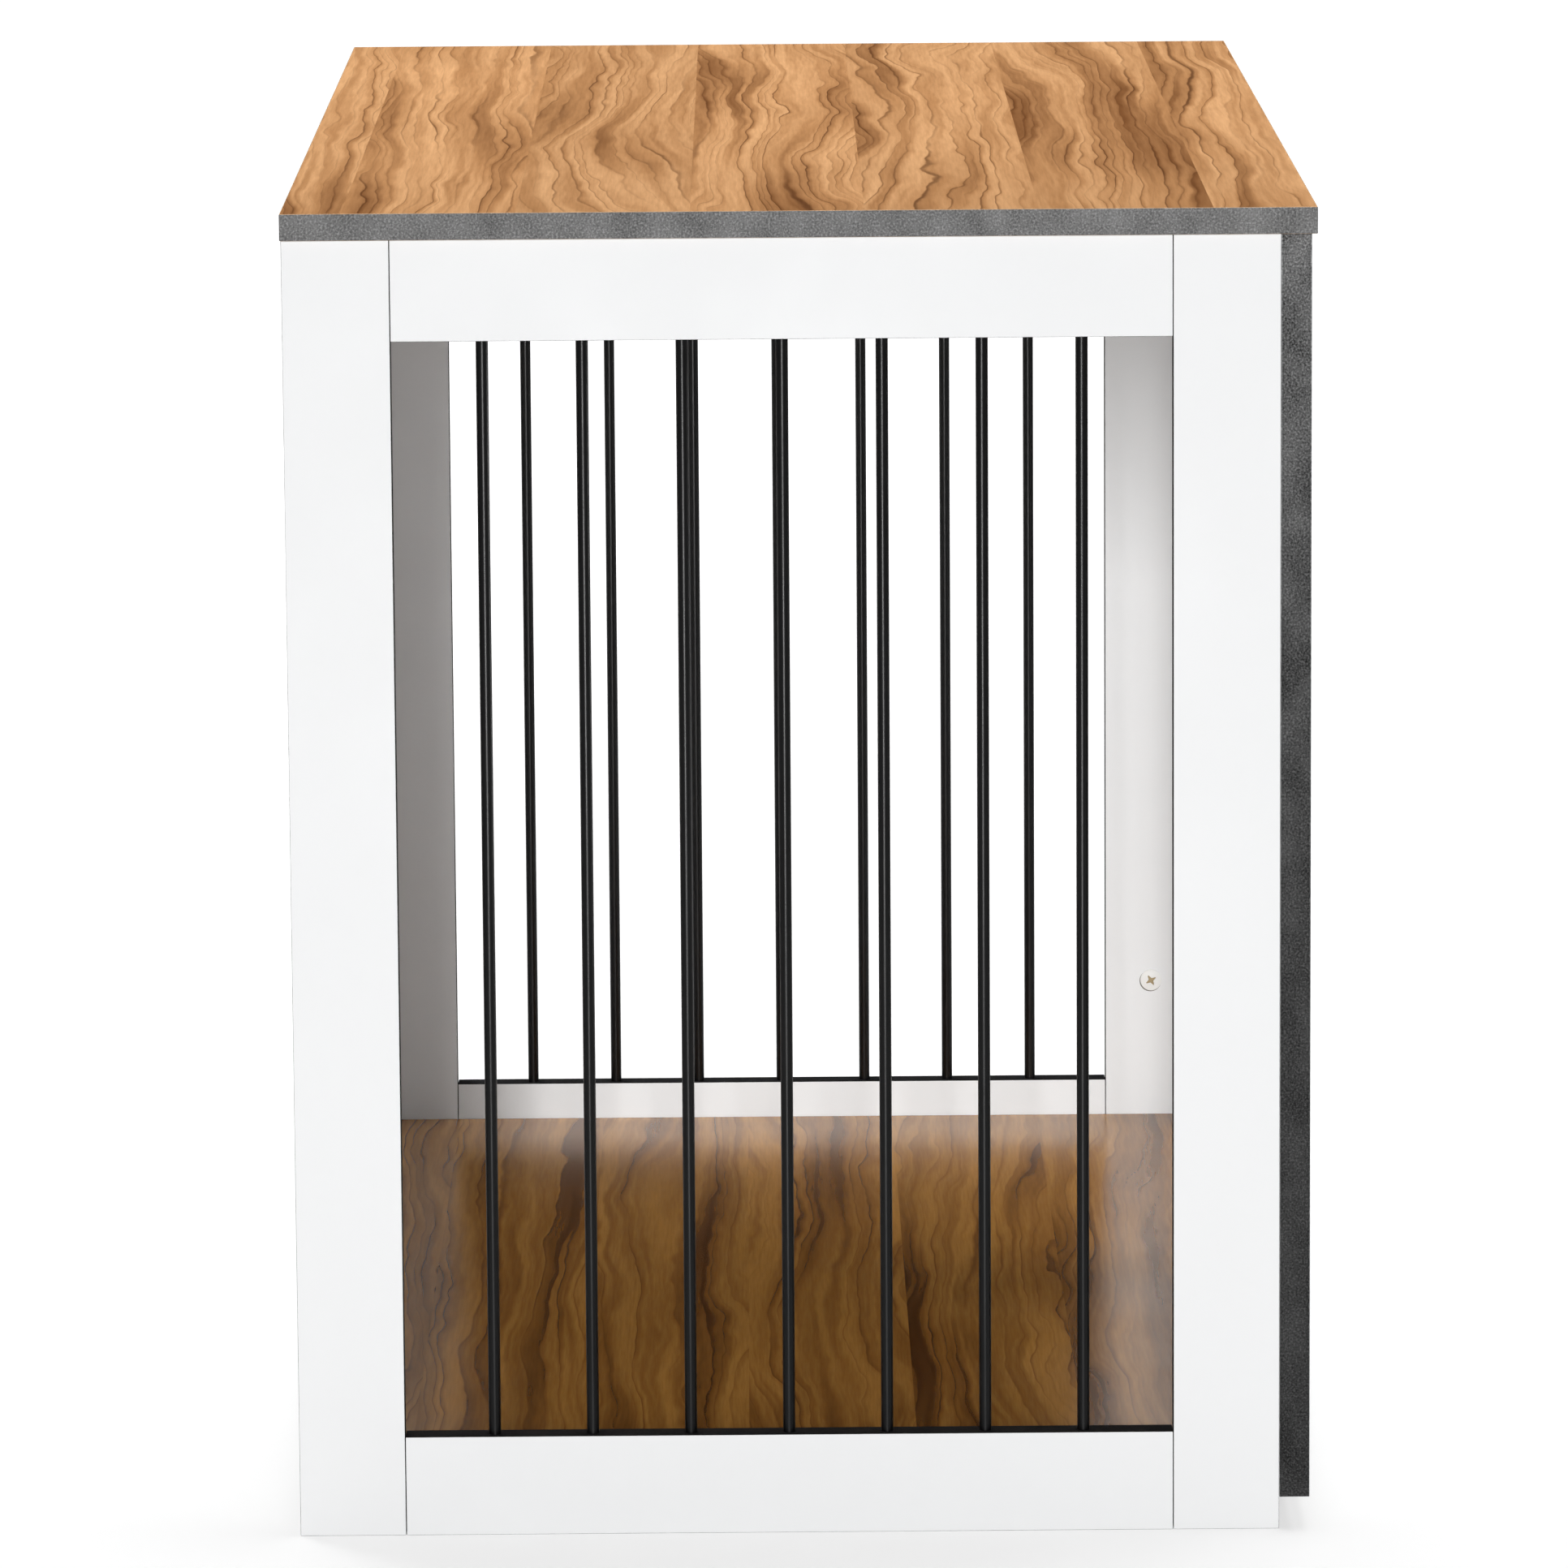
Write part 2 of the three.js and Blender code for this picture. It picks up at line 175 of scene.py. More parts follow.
class CrateBoardSettings(bpy.types.PropertyGroup):
    """Sizes and colours of the boards."""

    arris: FloatProperty(
        name="Arris", description="Radius that the boards' edges are eased to",
        default=0.5 * MM, min=0.1 * MM, max=2 * MM, unit="LENGTH",
    )
    seam: FloatProperty(
        name="Seam", description="Air at each end of a rail, which shows as a dark line",
        default=0.22 * MM, min=0.0, max=1 * MM, unit="LENGTH",
    )
    white: FloatVectorProperty(
        name="White laminate", description="Colour of the boards' faces",
        default=(0.90, 0.905, 0.91), size=3, subtype="COLOR", min=0, max=1,
    )
    core: FloatVectorProperty(
        name="Board core", description="Colour of the bare edges of the front posts",
        default=(0.146, 0.146, 0.146), size=3, subtype="COLOR", min=0, max=1,
    )
    # Painted shade: the posts' core, darkened near to black where the edges lie in shade.
    painted_shade_edge: FloatVectorProperty(
        name="Inner edges", description="Colour of the stained edges of the frame and door boards",
        default=(0.024, 0.024, 0.025), size=3, subtype="COLOR", min=0, max=1,
    )
    top_edge: FloatVectorProperty(
        name="Edge of the top", description="Colour of the bare edges of the table top",
        default=(0.186, 0.185, 0.184), size=3, subtype="COLOR", min=0, max=1,
    )
    cut_line: FloatVectorProperty(
        name="Cut laminate", description="Colour of the trimmed rim of the wood laminate",
        default=(0.52, 0.34, 0.2), size=3, subtype="COLOR", min=0, max=1,
    )


class CrateWoodSettings(bpy.types.PropertyGroup):
    """The printed wood grain of the table top and the floor board."""

    plank_width: FloatProperty(
        name="Plank width", description="Width of one printed plank",
        default=84 * MM, min=20 * MM, max=300 * MM, unit="LENGTH",
    )
    line_density: FloatProperty(
        name="Growth lines", description="Growth lines in a metre across the grain",
        default=150.0, min=10.0, max=400.0,
    )
    light: FloatVectorProperty(
        name="Light wood", description="Lightest colour of the top's print",
        default=(0.745, 0.412, 0.192), size=3, subtype="COLOR", min=0, max=1,
    )
    mid: FloatVectorProperty(
        name="Middle wood", description="Middle colour of the top's print",
        default=(0.51, 0.253, 0.104), size=3, subtype="COLOR", min=0, max=1,
    )
    dark: FloatVectorProperty(
        name="Dark wood", description="Colour beside the growth lines",
        default=(0.215, 0.085, 0.028), size=3, subtype="COLOR", min=0, max=1,
    )
    vein: FloatVectorProperty(
        name="Vein", description="Colour of the thinnest and darkest lines",
        default=(0.085, 0.033, 0.014), size=3, subtype="COLOR", min=0, max=1,
    )
    # Painted shade: the floor keeps this share of the top's colours, as the same print lit less
    # inside the crate.
    floor_painted_shade: FloatVectorProperty(
        name="Floor's painted shade", description="How much of the top's colours the floor's print keeps",
        default=(0.79, 0.68, 0.31), size=3, subtype="COLOR", min=0, max=1,
    )


class CrateSteelSettings(bpy.types.PropertyGroup):
    """Colours of the bars, hinges and fittings."""

    bar: FloatVectorProperty(
        name="Bars", description="Colour of the coated bars",
        default=(0.003, 0.003, 0.0033), size=3, subtype="COLOR", min=0, max=1,
    )
    hinge: FloatVectorProperty(
        name="Hinges", description="Colour of the blackened hinges and latch",
        default=(0.02, 0.02, 0.021), size=3, subtype="COLOR", min=0, max=1,
    )
    cap: FloatVectorProperty(
        name="Caps", description="Colour of the plastic-covered fittings inside",
        default=(0.97, 0.965, 0.94), size=3, subtype="COLOR", min=0, max=1,
    )
    recess: FloatVectorProperty(
        name="Recess", description="Colour of the cross recess in the fittings inside",
        default=(0.45, 0.35, 0.2), size=3, subtype="COLOR", min=0, max=1,
    )
    # Painted shadow round the fittings inside.
    drilled: FloatVectorProperty(
        name="Fitting shadow", description="Colour of the board round the fittings inside",
        default=(0.16, 0.145, 0.12), size=3, subtype="COLOR", min=0, max=1,
    )


class CrateStageSettings(bpy.types.PropertyGroup):
    """The floor that the table stands on and the lamps."""

    floor: FloatVectorProperty(
        name="Floor", description="Colour of the floor",
        default=(0.45, 0.45, 0.45), size=3, subtype="COLOR", min=0, max=1,
    )
    floor_glow: FloatProperty(
        name="Floor glow", description="Light that the floor near the table shows to the camera",
        default=0.6, min=0.0, max=1.0,
    )
    mirror_share: FloatProperty(
        name="Mirrored room", description="Share of the white room that mirrored rays see",
        default=0.03, min=0.0, max=1.0,
    )
    fill: FloatProperty(
        name="Fill", description="Strength of the even light from all sides",
        default=0.09, min=0.0, max=2.0,
    )
    key_power: FloatProperty(
        name="Key lamp", description="Power of the wide lamp at the left end, in watts",
        default=7640.0, min=0.0, max=50000.0,
    )
    core_power: FloatProperty(
        name="Core of the key lamp", description="Power of the lamp's brighter middle, in watts",
        default=4570.0, min=0.0, max=50000.0,
    )
    front_power: FloatProperty(
        name="Front lamp", description="Power of the lamp before the doors, in watts",
        default=50.0, min=0.0, max=2000.0,
    )
    top_power: FloatProperty(
        name="Top lamp", description="Power of the lamp over the table, in watts",
        default=70.0, min=0.0, max=2000.0,
    )
    door_power: FloatProperty(
        name="Door lamp", description="Power of the steep lamp that shines in at the doors, in watts",
        default=7.0, min=0.0, max=2000.0,
    )
    rear_power: FloatProperty(
        name="Rear lamp", description="Power of the lamp behind the table, in watts",
        default=150.0, min=0.0, max=2000.0,
    )
    glint_power: FloatProperty(
        name="Glints", description="Power of each lamp that only shows in polished faces, in watts",
        default=16.0, min=0.0, max=2000.0,
    )


# ---- surfaces ----

# A surface is its points and its faces, and its faces are two arrays: quads and triangles.
NO_TRIANGLES = np.empty((0, 3), int)


def rounded_block(low, high, radius, steps=3):
    """A box with rounded edges, and the side number of each face.

    A point Q runs over each of the six sides on a grid. C is Q held inside the box that is
    smaller by the radius all round, and the surface is C + radius * (Q - C) / |Q - C|. The
    grid lines near an edge stand at radius * tan(angle) for even angles up to 45 degrees.
    Sides are numbered 0 to 5 for -X, +X, -Y, +Y, -Z and +Z.
    """
    low, high = np.array(low, float), np.array(high, float)
    turn = radius * np.tan(np.linspace(0, math.pi / 4, steps + 1))
    lines = [
        np.concatenate([low[a] + radius - turn[::-1], high[a] - radius + turn]) for a in range(3)
    ]
    count = 2 * (steps + 1)
    corner = np.arange(count * count).reshape(count, count)
    loop = [corner[:-1, :-1], corner[1:, :-1], corner[1:, 1:], corner[:-1, 1:]]
    patch = np.stack(loop, axis=-1).reshape(-1, 4)
    points, quads, sides = [], [], []
    for axis in range(3):
        second, third = (axis + 1) % 3, (axis + 2) % 3
        across, along = np.meshgrid(lines[second], lines[third], indexing="ij")
        for end in range(2):
            side = np.empty((count * count, 3))
            side[:, axis] = (low, high)[end][axis]
            side[:, second] = across.ravel()
            side[:, third] = along.ravel()
            quads.append((patch if end else patch[:, ::-1]) + len(points) * count * count)
            sides.append(np.full(len(patch), 2 * axis + end))
            points.append(side)
    surface = np.concatenate(points)
    centre = np.clip(surface, low + radius, high - radius)
    outwards = surface - centre
    surface = centre + radius * outwards / np.linalg.norm(outwards, axis=1, keepdims=True)
    return surface, (np.concatenate(quads), NO_TRIANGLES), np.concatenate(sides)


def rings_surface(rings, start=None, end=None):
    """A surface through closed rings of equal size.

    Row i of the grid is ring i, and column j runs round it. With start and end points the
    first and last ring are closed by fans, and without them the last ring joins the first.
    """
    rings = np.asarray(rings, float)
    rows, columns = rings.shape[:2]
    points = rings.reshape(-1, 3)
    index = np.arange(rows * columns).reshape(rows, columns)
    beside = np.roll(index, -1, axis=1)
    above, above_beside = np.roll(index, -1, axis=0), np.roll(beside, -1, axis=0)
    quads = np.stack([index, beside, above_beside, above], axis=-1)
    if start is None:
        return points, (quads.reshape(-1, 4), NO_TRIANGLES)
    first = np.full(columns, rows * columns)
    fans = ((first, beside[0], index[0]), (first + 1, index[-1], beside[-1]))
    triangles = np.concatenate([np.stack(fan, axis=-1) for fan in fans])
    return np.concatenate([points, [start, end]]), (quads[:-1].reshape(-1, 4), triangles)


def turned_surface(profile, steps=48):
    """A profile of (radius, height) turned about the Z axis, from the axis to the axis.

    The point at angle a and profile place t is (r(t) cos a, r(t) sin a, z(t)).
    """
    profile = np.array(profile, float)
    angle = np.linspace(0, 2 * math.pi, steps, endpoint=False)
    inner = profile[1:-1]
    rings = np.empty((len(inner), steps, 3))
    rings[..., 0] = inner[:, :1] * np.cos(angle)
    rings[..., 1] = inner[:, :1] * np.sin(angle)
    rings[..., 2] = inner[:, 1:]
    return rings_surface(rings, (0, 0, profile[0, 1]), (0, 0, profile[-1, 1]))


def rounded_outline(half_width, half_height, corners, steps=6):
    """A rectangle about the origin with rounded corners, run anticlockwise.

    Each corner is a quarter circle of its own radius, in the order upper right, upper left,
    lower left and lower right.
    """
    outline = []
    for quarter, radius in enumerate(corners):
        angle = (quarter + np.linspace(0, 1, steps + 1)) * math.pi / 2
        x_side = 1 if quarter in (0, 3) else -1
        y_side = 1 if quarter in (0, 1) else -1
        x = x_side * (half_width - radius) + radius * np.cos(angle)
        y = y_side * (half_height - radius) + radius * np.sin(angle)
        outline.append(np.stack([x, y], axis=-1))
    return np.concatenate(outline)


def eased_steps(edge, steps=3):
    """Insets and depths of a quarter circle that eases an edge, from the wall to the face.

    The inset is edge * (1 - cos a) and the depth below the face is edge * (1 - sin a).
    """
    angle = np.linspace(0, math.pi / 2, steps + 1)
    return edge * (1 - np.cos(angle)), edge * (1 - np.sin(angle))


def at_height(outline, height):
    """A flat outline as a ring of points at one height."""
    return np.column_stack([outline, np.full(len(outline), height)])


def plate_surface(half_width, half_height, corner, thickness, edge):
    """A plate with rounded corners and eased edges, its back on Z = 0.

    The outline shrinks by the inset of a quarter circle as it nears either face, and each
    face is closed by a fan.
    """
    inset, depth = eased_steps(edge)
    insets = np.concatenate([inset[::-1], inset])
    heights = np.concatenate([depth[::-1], thickness - depth])
    rings = []
    for shrink, height in zip(insets, heights):
        corners = [max(corner - shrink, 0.05 * MM)] * 4
        outline = rounded_outline(half_width - shrink, half_height - shrink, corners)
        rings.append(at_height(outline, height))
    return rings_surface(rings, (0, 0, 0), (0, 0, thickness))


def pierced_surface(outer, inner, length, edge):
    """A block with a way through it, along Z from 0 to the length.

    outer(grow) and inner(grow) are outlines with equal counts of points, grown by a
    distance. The rings run up the outer wall, over the end, down the inner wall and back.
    """
    inset, depth = eased_steps(edge, 2)
    stages = (
        (outer, -inset[::-1], depth[::-1]),
        (outer, -inset, length - depth),
        (inner, inset[::-1], length - depth[::-1]),
        (inner, inset, depth),
    )
    return rings_surface([
        at_height(outline(grow), height)
        for outline, grows, heights in stages
        for grow, height in zip(grows, heights)
    ])


def screw_head(radius, height, dome, cross=0.55, deep=0.42, steps=40, rings=14):
    """A screw's head with a cross recess, its back on Z = 0.

    The top's height at a distance r is height - dome * (r / radius)^2, less the depth of
    the recess where the point lies in either arm of the cross. The arms narrow towards
    their ends, and the depth falls off smoothly over the wall of an arm. The reach of the
    cross and its depth are given as shares of the radius.
    """
    share = np.concatenate([np.linspace(1, 0.62, 4), np.linspace(0.58, 0.04, rings)])
    angle = np.linspace(0, 2 * math.pi, steps, endpoint=False)
    distance = (share * radius)[:, None] * np.ones(steps)
    x = distance * np.cos(angle)
    y = distance * np.sin(angle)
    top = height - dome * (distance / radius) ** 2

    def arm(along, across):
        reach = cross * radius
        half_width = 0.2 * radius - 0.17 * radius * np.minimum(np.abs(along) / reach, 1)
        inside = np.minimum(reach - np.abs(along), half_width - np.abs(across))
        return np.clip(inside / (0.07 * radius) + 0.5, 0, 1)

    cut = np.maximum(arm(x, y), arm(y, x))
    depth = deep * radius
    top = top - depth * cut * cut * (3 - 2 * cut)
    cap = np.stack([x, y, top], axis=-1)
    wall = np.stack([x[0], y[0], np.full(steps, min(0.0, height - dome - 0.4 * MM))], axis=-1)
    base = wall[0, 2]
    return rings_surface(np.concatenate([[wall], cap]), (0, 0, base), (0, 0, height - depth))


def smooth_profile(corners, steps=6):
    """A quadratic B-spline of a chain of corners that keeps both ends.

    Between the middles A and B of two neighbouring edges it is the parabola
    (1 - t)^2 A + 2 t (1 - t) C + t^2 B, where C is the corner between them.
    """
    corners = np.array(corners, float)
    middles = (corners[:-1] + corners[1:]) / 2
    t = np.linspace(0, 1, steps, endpoint=False)[:, None]
    curve = [corners[:1]]
    for first, corner, last in zip(middles[:-1], corners[1:-1], middles[1:]):
        curve.append((1 - t) ** 2 * first + 2 * t * (1 - t) * corner + t**2 * last)
    curve.append(middles[-1:])
    curve.append(corners[-1:])
    return np.concatenate(curve)


def placed(points, origin, along, across):
    """Points of a surface that was made about Z, with its Z turned to along and X to across."""
    along, across = Vector(along), Vector(across)
    basis = np.array([across, along.cross(across), along])
    return np.asarray(points) @ basis + np.array(origin, float)


def joined(parts):
    """Several surfaces as one."""
    starts = np.cumsum([0] + [len(points) for points, _ in parts])
    points = np.concatenate([points for points, _ in parts])
    quads, triangles = (
        np.concatenate([faces[kind] + start for (_, faces), start in zip(parts, starts)])
        for kind in range(2)
    )
    return points, (quads, triangles)


# ---- pieces ----


def new_piece(name, points, faces, materials, slots=None):
    """A mesh object with merged corners, smooth faces and sharp edges where they turn fast."""
    kept, place = np.unique(np.round(points, 8), axis=0, return_inverse=True)
    quads, triangles = (place.ravel()[corners] for corners in faces)
    mesh = bpy.data.meshes.new(name)
    mesh.from_pydata(kept.tolist(), [], quads.tolist() + triangles.tolist())
    for material in materials:
        mesh.materials.append(material)
    if slots is not None:
        mesh.polygons.foreach_set("material_index", np.asarray(slots, np.int32))
    mesh.polygons.foreach_set("use_smooth", np.ones(len(mesh.polygons), bool))
    mesh.set_sharp_from_angle(angle=SHARP_ANGLE)
    mesh.update()
    mesh.validate()
    piece = bpy.data.objects.new(name, mesh)
    bpy.context.scene.collection.objects.link(piece)
    return piece


def weigh_normals(piece):
    """Keeps flat faces flat beside their eased edges."""
    weighted = piece.modifiers.new("Weighted normals", "WEIGHTED_NORMAL")
    weighted.keep_sharp = True


def carve(piece, points, faces, slot):
    """Cuts a closed surface out of a piece. The new walls take the material of the slot."""
    walls = [slot] * sum(len(corners) for corners in faces)
    tool = new_piece("cutter", points, faces, list(piece.data.materials), walls)
    cut = piece.modifiers.new("Cut", "BOOLEAN")
    cut.operation = "DIFFERENCE"
    cut.solver = "EXACT"
    cut.object = tool
    bpy.context.view_layer.update()
    evaluated = piece.evaluated_get(bpy.context.evaluated_depsgraph_get())
    finished = bpy.data.meshes.new_from_object(evaluated)
    piece.modifiers.clear()
    whole = piece.data
    piece.data = finished
    bpy.data.meshes.remove(whole)
    bpy.data.objects.remove(tool)
    finished.name = piece.name
    finished.set_sharp_from_angle(angle=SHARP_ANGLE)


def rod_profile(radius, low, high, edge):
    """Profile of a straight rod with eased ends, from the axis to the axis."""
    inset, depth = eased_steps(edge)
    lower = [(radius - shrink, low + rise) for shrink, rise in zip(inset[::-1], depth[::-1])]
    upper = [(radius - shrink, high - rise) for shrink, rise in zip(inset, depth)]
    return [(0, low), *lower, *upper, (0, high)]


def upright_rod(radius, x, y, low, high, edge=0.3 * MM, steps=48):
    """An upright rod with eased ends."""
    points, faces = turned_surface(rod_profile(radius, low, high, edge), steps)
    return points + np.array([x, y, 0]), faces


# ---- shader nodes ----


def put(tree, kind, inputs, **settings):
    """A new node. An input is a number, a colour or another node's output socket."""
    made = tree.nodes.new(kind)
    for name, value in settings.items():
        setattr(made, name, value)
    for key, value in inputs.items():
        if isinstance(value, bpy.types.NodeSocket):
            tree.links.new(value, made.inputs[key])
        else:
            made.inputs[key].default_value = value
    return made


def maths(tree, operation, first, second=0.0, clamp=False):
    """The result of one sum on two values."""
    inputs = {0: first, 1: second}
    return put(tree, "ShaderNodeMath", inputs, operation=operation, use_clamp=clamp).outputs[0]


def stretched(tree, vector, scale):
    """A vector with each axis multiplied."""
    inputs = {0: vector, 1: scale}
    return put(tree, "ShaderNodeVectorMath", inputs, operation="MULTIPLY").outputs[0]


def noise(tree, vector, scale, detail=2.0, roughness=0.5):
    """Smooth noise from 0 to 1."""
    inputs = {"Vector": vector, "Scale": scale, "Detail": detail, "Roughness": roughness}
    return put(tree, "ShaderNodeTexNoise", inputs).outputs["Fac"]


def between(tree, value, low, high, low_result=0.0, high_result=1.0, smooth=True):
    """A value that goes from one result to the other between two bounds."""
    inputs = {
        "Value": value, "From Min": low, "From Max": high,
        "To Min": low_result, "To Max": high_result,
    }
    kind = "SMOOTHSTEP" if smooth else "LINEAR"
    return put(tree, "ShaderNodeMapRange", inputs, interpolation_type=kind).outputs["Result"]


def mixed(tree, factor, first, second, blend="MIX"):
    """Two colours mixed."""
    inputs = {0: factor, 6: first, 7: second}
    made = put(tree, "ShaderNodeMix", inputs, data_type="RGBA", blend_type=blend)
    return made.outputs[2]


def multiplied(tree, first, second):
    """The product of two colours."""
    return mixed(tree, 1.0, first, second, "MULTIPLY")


def grey(tree, level):
    """A grey of the given level."""
    return put(tree, "ShaderNodeCombineColor", {0: level, 1: level, 2: level}).outputs[0]


def vector_of(tree, x, y, z):
    """A vector of three values."""
    return put(tree, "ShaderNodeCombineXYZ", {0: x, 1: y, 2: z}).outputs[0]


def axes_of(tree, vector):
    """The three values of a vector."""
    return put(tree, "ShaderNodeSeparateXYZ", {0: vector}).outputs


def chance_of(tree, number):
    """A value from 0 to 1 that is fixed for each whole number, and otherwise unordered."""
    return put(tree, "ShaderNodeTexWhiteNoise", {"W": number}, noise_dimensions="1D").outputs[0]


def solid(colour):
    """A colour with full alpha."""
    return (*colour, 1.0)


def new_group(name, inputs, outputs):
    """An empty node group with named sockets, its input values and its end node's sockets."""
    group = bpy.data.node_groups.new(name, "ShaderNodeTree")
    for socket, kind in inputs.items():
        group.interface.new_socket(socket, in_out="INPUT", socket_type=f"NodeSocket{kind}")
    for socket, kind in outputs.items():
        group.interface.new_socket(socket, in_out="OUTPUT", socket_type=f"NodeSocket{kind}")
    given = group.nodes.new("NodeGroupInput").outputs
    return group, given, group.nodes.new("NodeGroupOutput").inputs


def effect(tree, name, maker, inputs):
    """A node of a shared group, which is made the first time that it is asked for."""
    shared = bpy.data.node_groups.get(name) or maker(name)
    return put(tree, "ShaderNodeGroup", inputs, node_tree=shared).outputs


def wavering(group, moved, across):
    """Distance across the grain, bent by noises: a slow one, a middle one and a fine one.

    Each noise is stretched along the grain, and moves the place by its own few millimetres.
    """
    bent = across
    for stretch, reach, detail in (
        ((1.7, 7.5, 1), 78 * MM, 1.0),
        ((6.5, 24, 1), 27 * MM, 1.5),
        ((24, 70, 1), 5.5 * MM, 1.5),
    ):
        wave = noise(group, stretched(group, moved, stretch), 1.0, detail, 0.5)
        bent = maths(group, "ADD", bent, maths(group, "MULTIPLY", wave, reach))
    return bent


def along_grain(group, bent, along, plank, across_scale, along_scale, detail=1.0):
    """Noise in bands that follow the growth lines."""
    place = vector_of(
        group,
        maths(group, "MULTIPLY", bent, across_scale),
        maths(group, "MULTIPLY", along, along_scale),
        maths(group, "MULTIPLY", plank, 5.3),
    )
    return noise(group, place, 1.0, detail, 0.55)


def growth_lines(group, count, flame, moved):
    """How dark the growth lines are: the soft shade across each of them, and its thin rim.

    The whole part of the count numbers a line, and the rest is the place across it. The
    shade grows with the square of that place up to the rim and falls off past it. Each line
    has a strength of its own, which fades in and out along the grain.
    """
    line = maths(group, "FLOOR", count)
    reach = maths(group, "SUBTRACT", count, line)
    fade = noise(group, stretched(group, moved, (4.5, 16, 1)), 1.0, 2.0)
    fade = between(group, fade, 0.3, 0.6, 0.15, 1.0)
    strength = maths(group, "MULTIPLY", chance_of(group, line), fade)
    strength = maths(group, "ADD", strength, maths(group, "MULTIPLY", flame, 0.35), clamp=True)
    past_rim = between(group, reach, 0.94, 1.0, 1.0, 0.0)
    soft = maths(group, "POWER", between(group, reach, 0.15, 0.94, smooth=False), 2.0)
    thin = between(group, reach, 0.80, 0.93)
    return [
        maths(group, "MULTIPLY", maths(group, "MULTIPLY", shade, past_rim), strength)
        for shade in (soft, thin)
    ]


def fibre_tint(group, moved):
    """A tint from fine fibres along the grain, which changes blue more than red."""
    fibre = noise(group, stretched(group, moved, (30, 640, 1)), 1.0, 2.5, 0.6)
    levels = [
        between(group, fibre, 0.25, 0.75, low, high, False)
        for low, high in ((0.86, 1.11), (0.83, 1.13), (0.79, 1.16))
    ]
    return put(group, "ShaderNodeCombineColor", dict(enumerate(levels))).outputs[0]


def make_wood_group(name):
    """The printed wood grain: planks side by side along Y, with the grain along X.

    A growth line darkens slowly across its width and ends on a thin dark rim, and the lines
    bend together. Broad brown flames and narrow streaks follow them.
    """
    group, given, result = new_group(
        name,
        {
            "Vector": "Vector", "Plank Width": "Float", "Line Density": "Float",
            **dict.fromkeys(WOOD_COLOURS, "Color"),
        },
        {"Color": "Color", "Height": "Float"},
    )
    place = axes_of(group, given["Vector"])
    plank = maths(group, "FLOOR", maths(group, "DIVIDE", place[1], given["Plank Width"]))
    chance = chance_of(group, plank)
    along = maths(group, "ADD", place[0], maths(group, "MULTIPLY", chance, 7.0))
    moved = vector_of(group, along, place[1], maths(group, "MULTIPLY", plank, 3.17))
    bent = wavering(group, moved, place[1])

    flame = between(group, along_grain(group, bent, along, plank, 34, 1.3, 1.5), 0.46, 0.72)
    streak = between(group, along_grain(group, bent, along, plank, 120, 2.2, 2.0), 0.3, 0.72)
    uneven = along_grain(group, bent, along, plank, 30, 0.4)
    count = maths(group, "MULTIPLY", bent, given["Line Density"])
    count = maths(group, "ADD", count, maths(group, "MULTIPLY", uneven, 6.0))
    soft, thin = growth_lines(group, count, flame, moved)

    tone = maths(group, "MULTIPLY", streak, 0.46)
    tone = maths(group, "ADD", tone, maths(group, "MULTIPLY", flame, 0.72))
    tone = maths(group, "ADD", tone, maths(group, "MULTIPLY", soft, 0.5))
    colour = mixed(group, between(group, tone, 0.0, 0.5, smooth=False), given["Light"], given["Mid"])
    colour = mixed(group, between(group, tone, 0.5, 1.25, smooth=False), colour, given["Dark"])
    colour = mixed(group, maths(group, "MULTIPLY", thin, 0.6), colour, given["Vein"])
    colour = multiplied(group, colour, fibre_tint(group, moved))
    plank_tone = between(group, chance, 0.0, 1.0, 0.92, 1.04, False)
    group.links.new(multiplied(group, colour, grey(group, plank_tone)), result["Color"])
    ticks = noise(group, stretched(group, given["Vector"], (900, 260, 1)), 1.0, 1.0)
    group.links.new(maths(group, "SUBTRACT", ticks, thin), result["Height"])
    return group


def make_core_group(name):
    """Pressed fibre board that was sawn: light and dark flecks in a flat colour."""
    group, given, result = new_group(
        name,
        {"Vector": "Vector", "Base": "Color", "Fleck": "Float"},
        {"Color": "Color", "Height": "Float"},
    )
    fine = noise(group, given["Vector"], 980.0, 1.0, 0.6)
    cloudy = noise(group, stretched(group, given["Vector"], (60, 60, 45)), 1.0, 3.0, 0.5)
    flecks = between(group, fine, 0.5, 0.72, 0.0, 1.3)
    dots = between(group, fine, 0.28, 0.5, 0.75, 0.0)
    level = maths(group, "SUBTRACT", flecks, dots)
    level = maths(group, "ADD", level, between(group, cloudy, 0.25, 0.75, -0.5, 0.5, False))
    level = maths(group, "ADD", maths(group, "MULTIPLY", level, given["Fleck"]), 1.0)
    group.links.new(multiplied(group, given["Base"], grey(group, level)), result["Color"])
    group.links.new(maths(group, "ADD", fine, cloudy), result["Height"])
    return group


def make_grit_group(name):
    """Fine grit and faint clouds, for coatings."""
    group, given, result = new_group(
        name, {"Vector": "Vector", "Scale": "Float"}, {"Grit": "Float", "Clouds": "Float"}
    )
    group.links.new(noise(group, given["Vector"], given["Scale"], 3.0, 0.6), result["Grit"])
    wide = maths(group, "DIVIDE", given["Scale"], 60.0)
    group.links.new(noise(group, given["Vector"], wide, 3.0, 0.55), result["Clouds"])
    return group


def new_material(name):
    """A material with its node tree, its shader and the object's own coordinates."""
    material = bpy.data.materials.new(name)
    material.use_nodes = True
    tree = material.node_tree
    place = put(tree, "ShaderNodeTexCoord", {}).outputs["Object"]
    return material, tree, tree.nodes["Principled BSDF"], place


def raise_surface(tree, shader, height, depth):
    """Feeds a height to the shader as bumps of that depth."""
    bump = put(tree, "ShaderNodeBump", {"Height": height, "Distance": depth, "Strength": 1.0})
    tree.links.new(bump.outputs["Normal"], shader.inputs["Normal"])


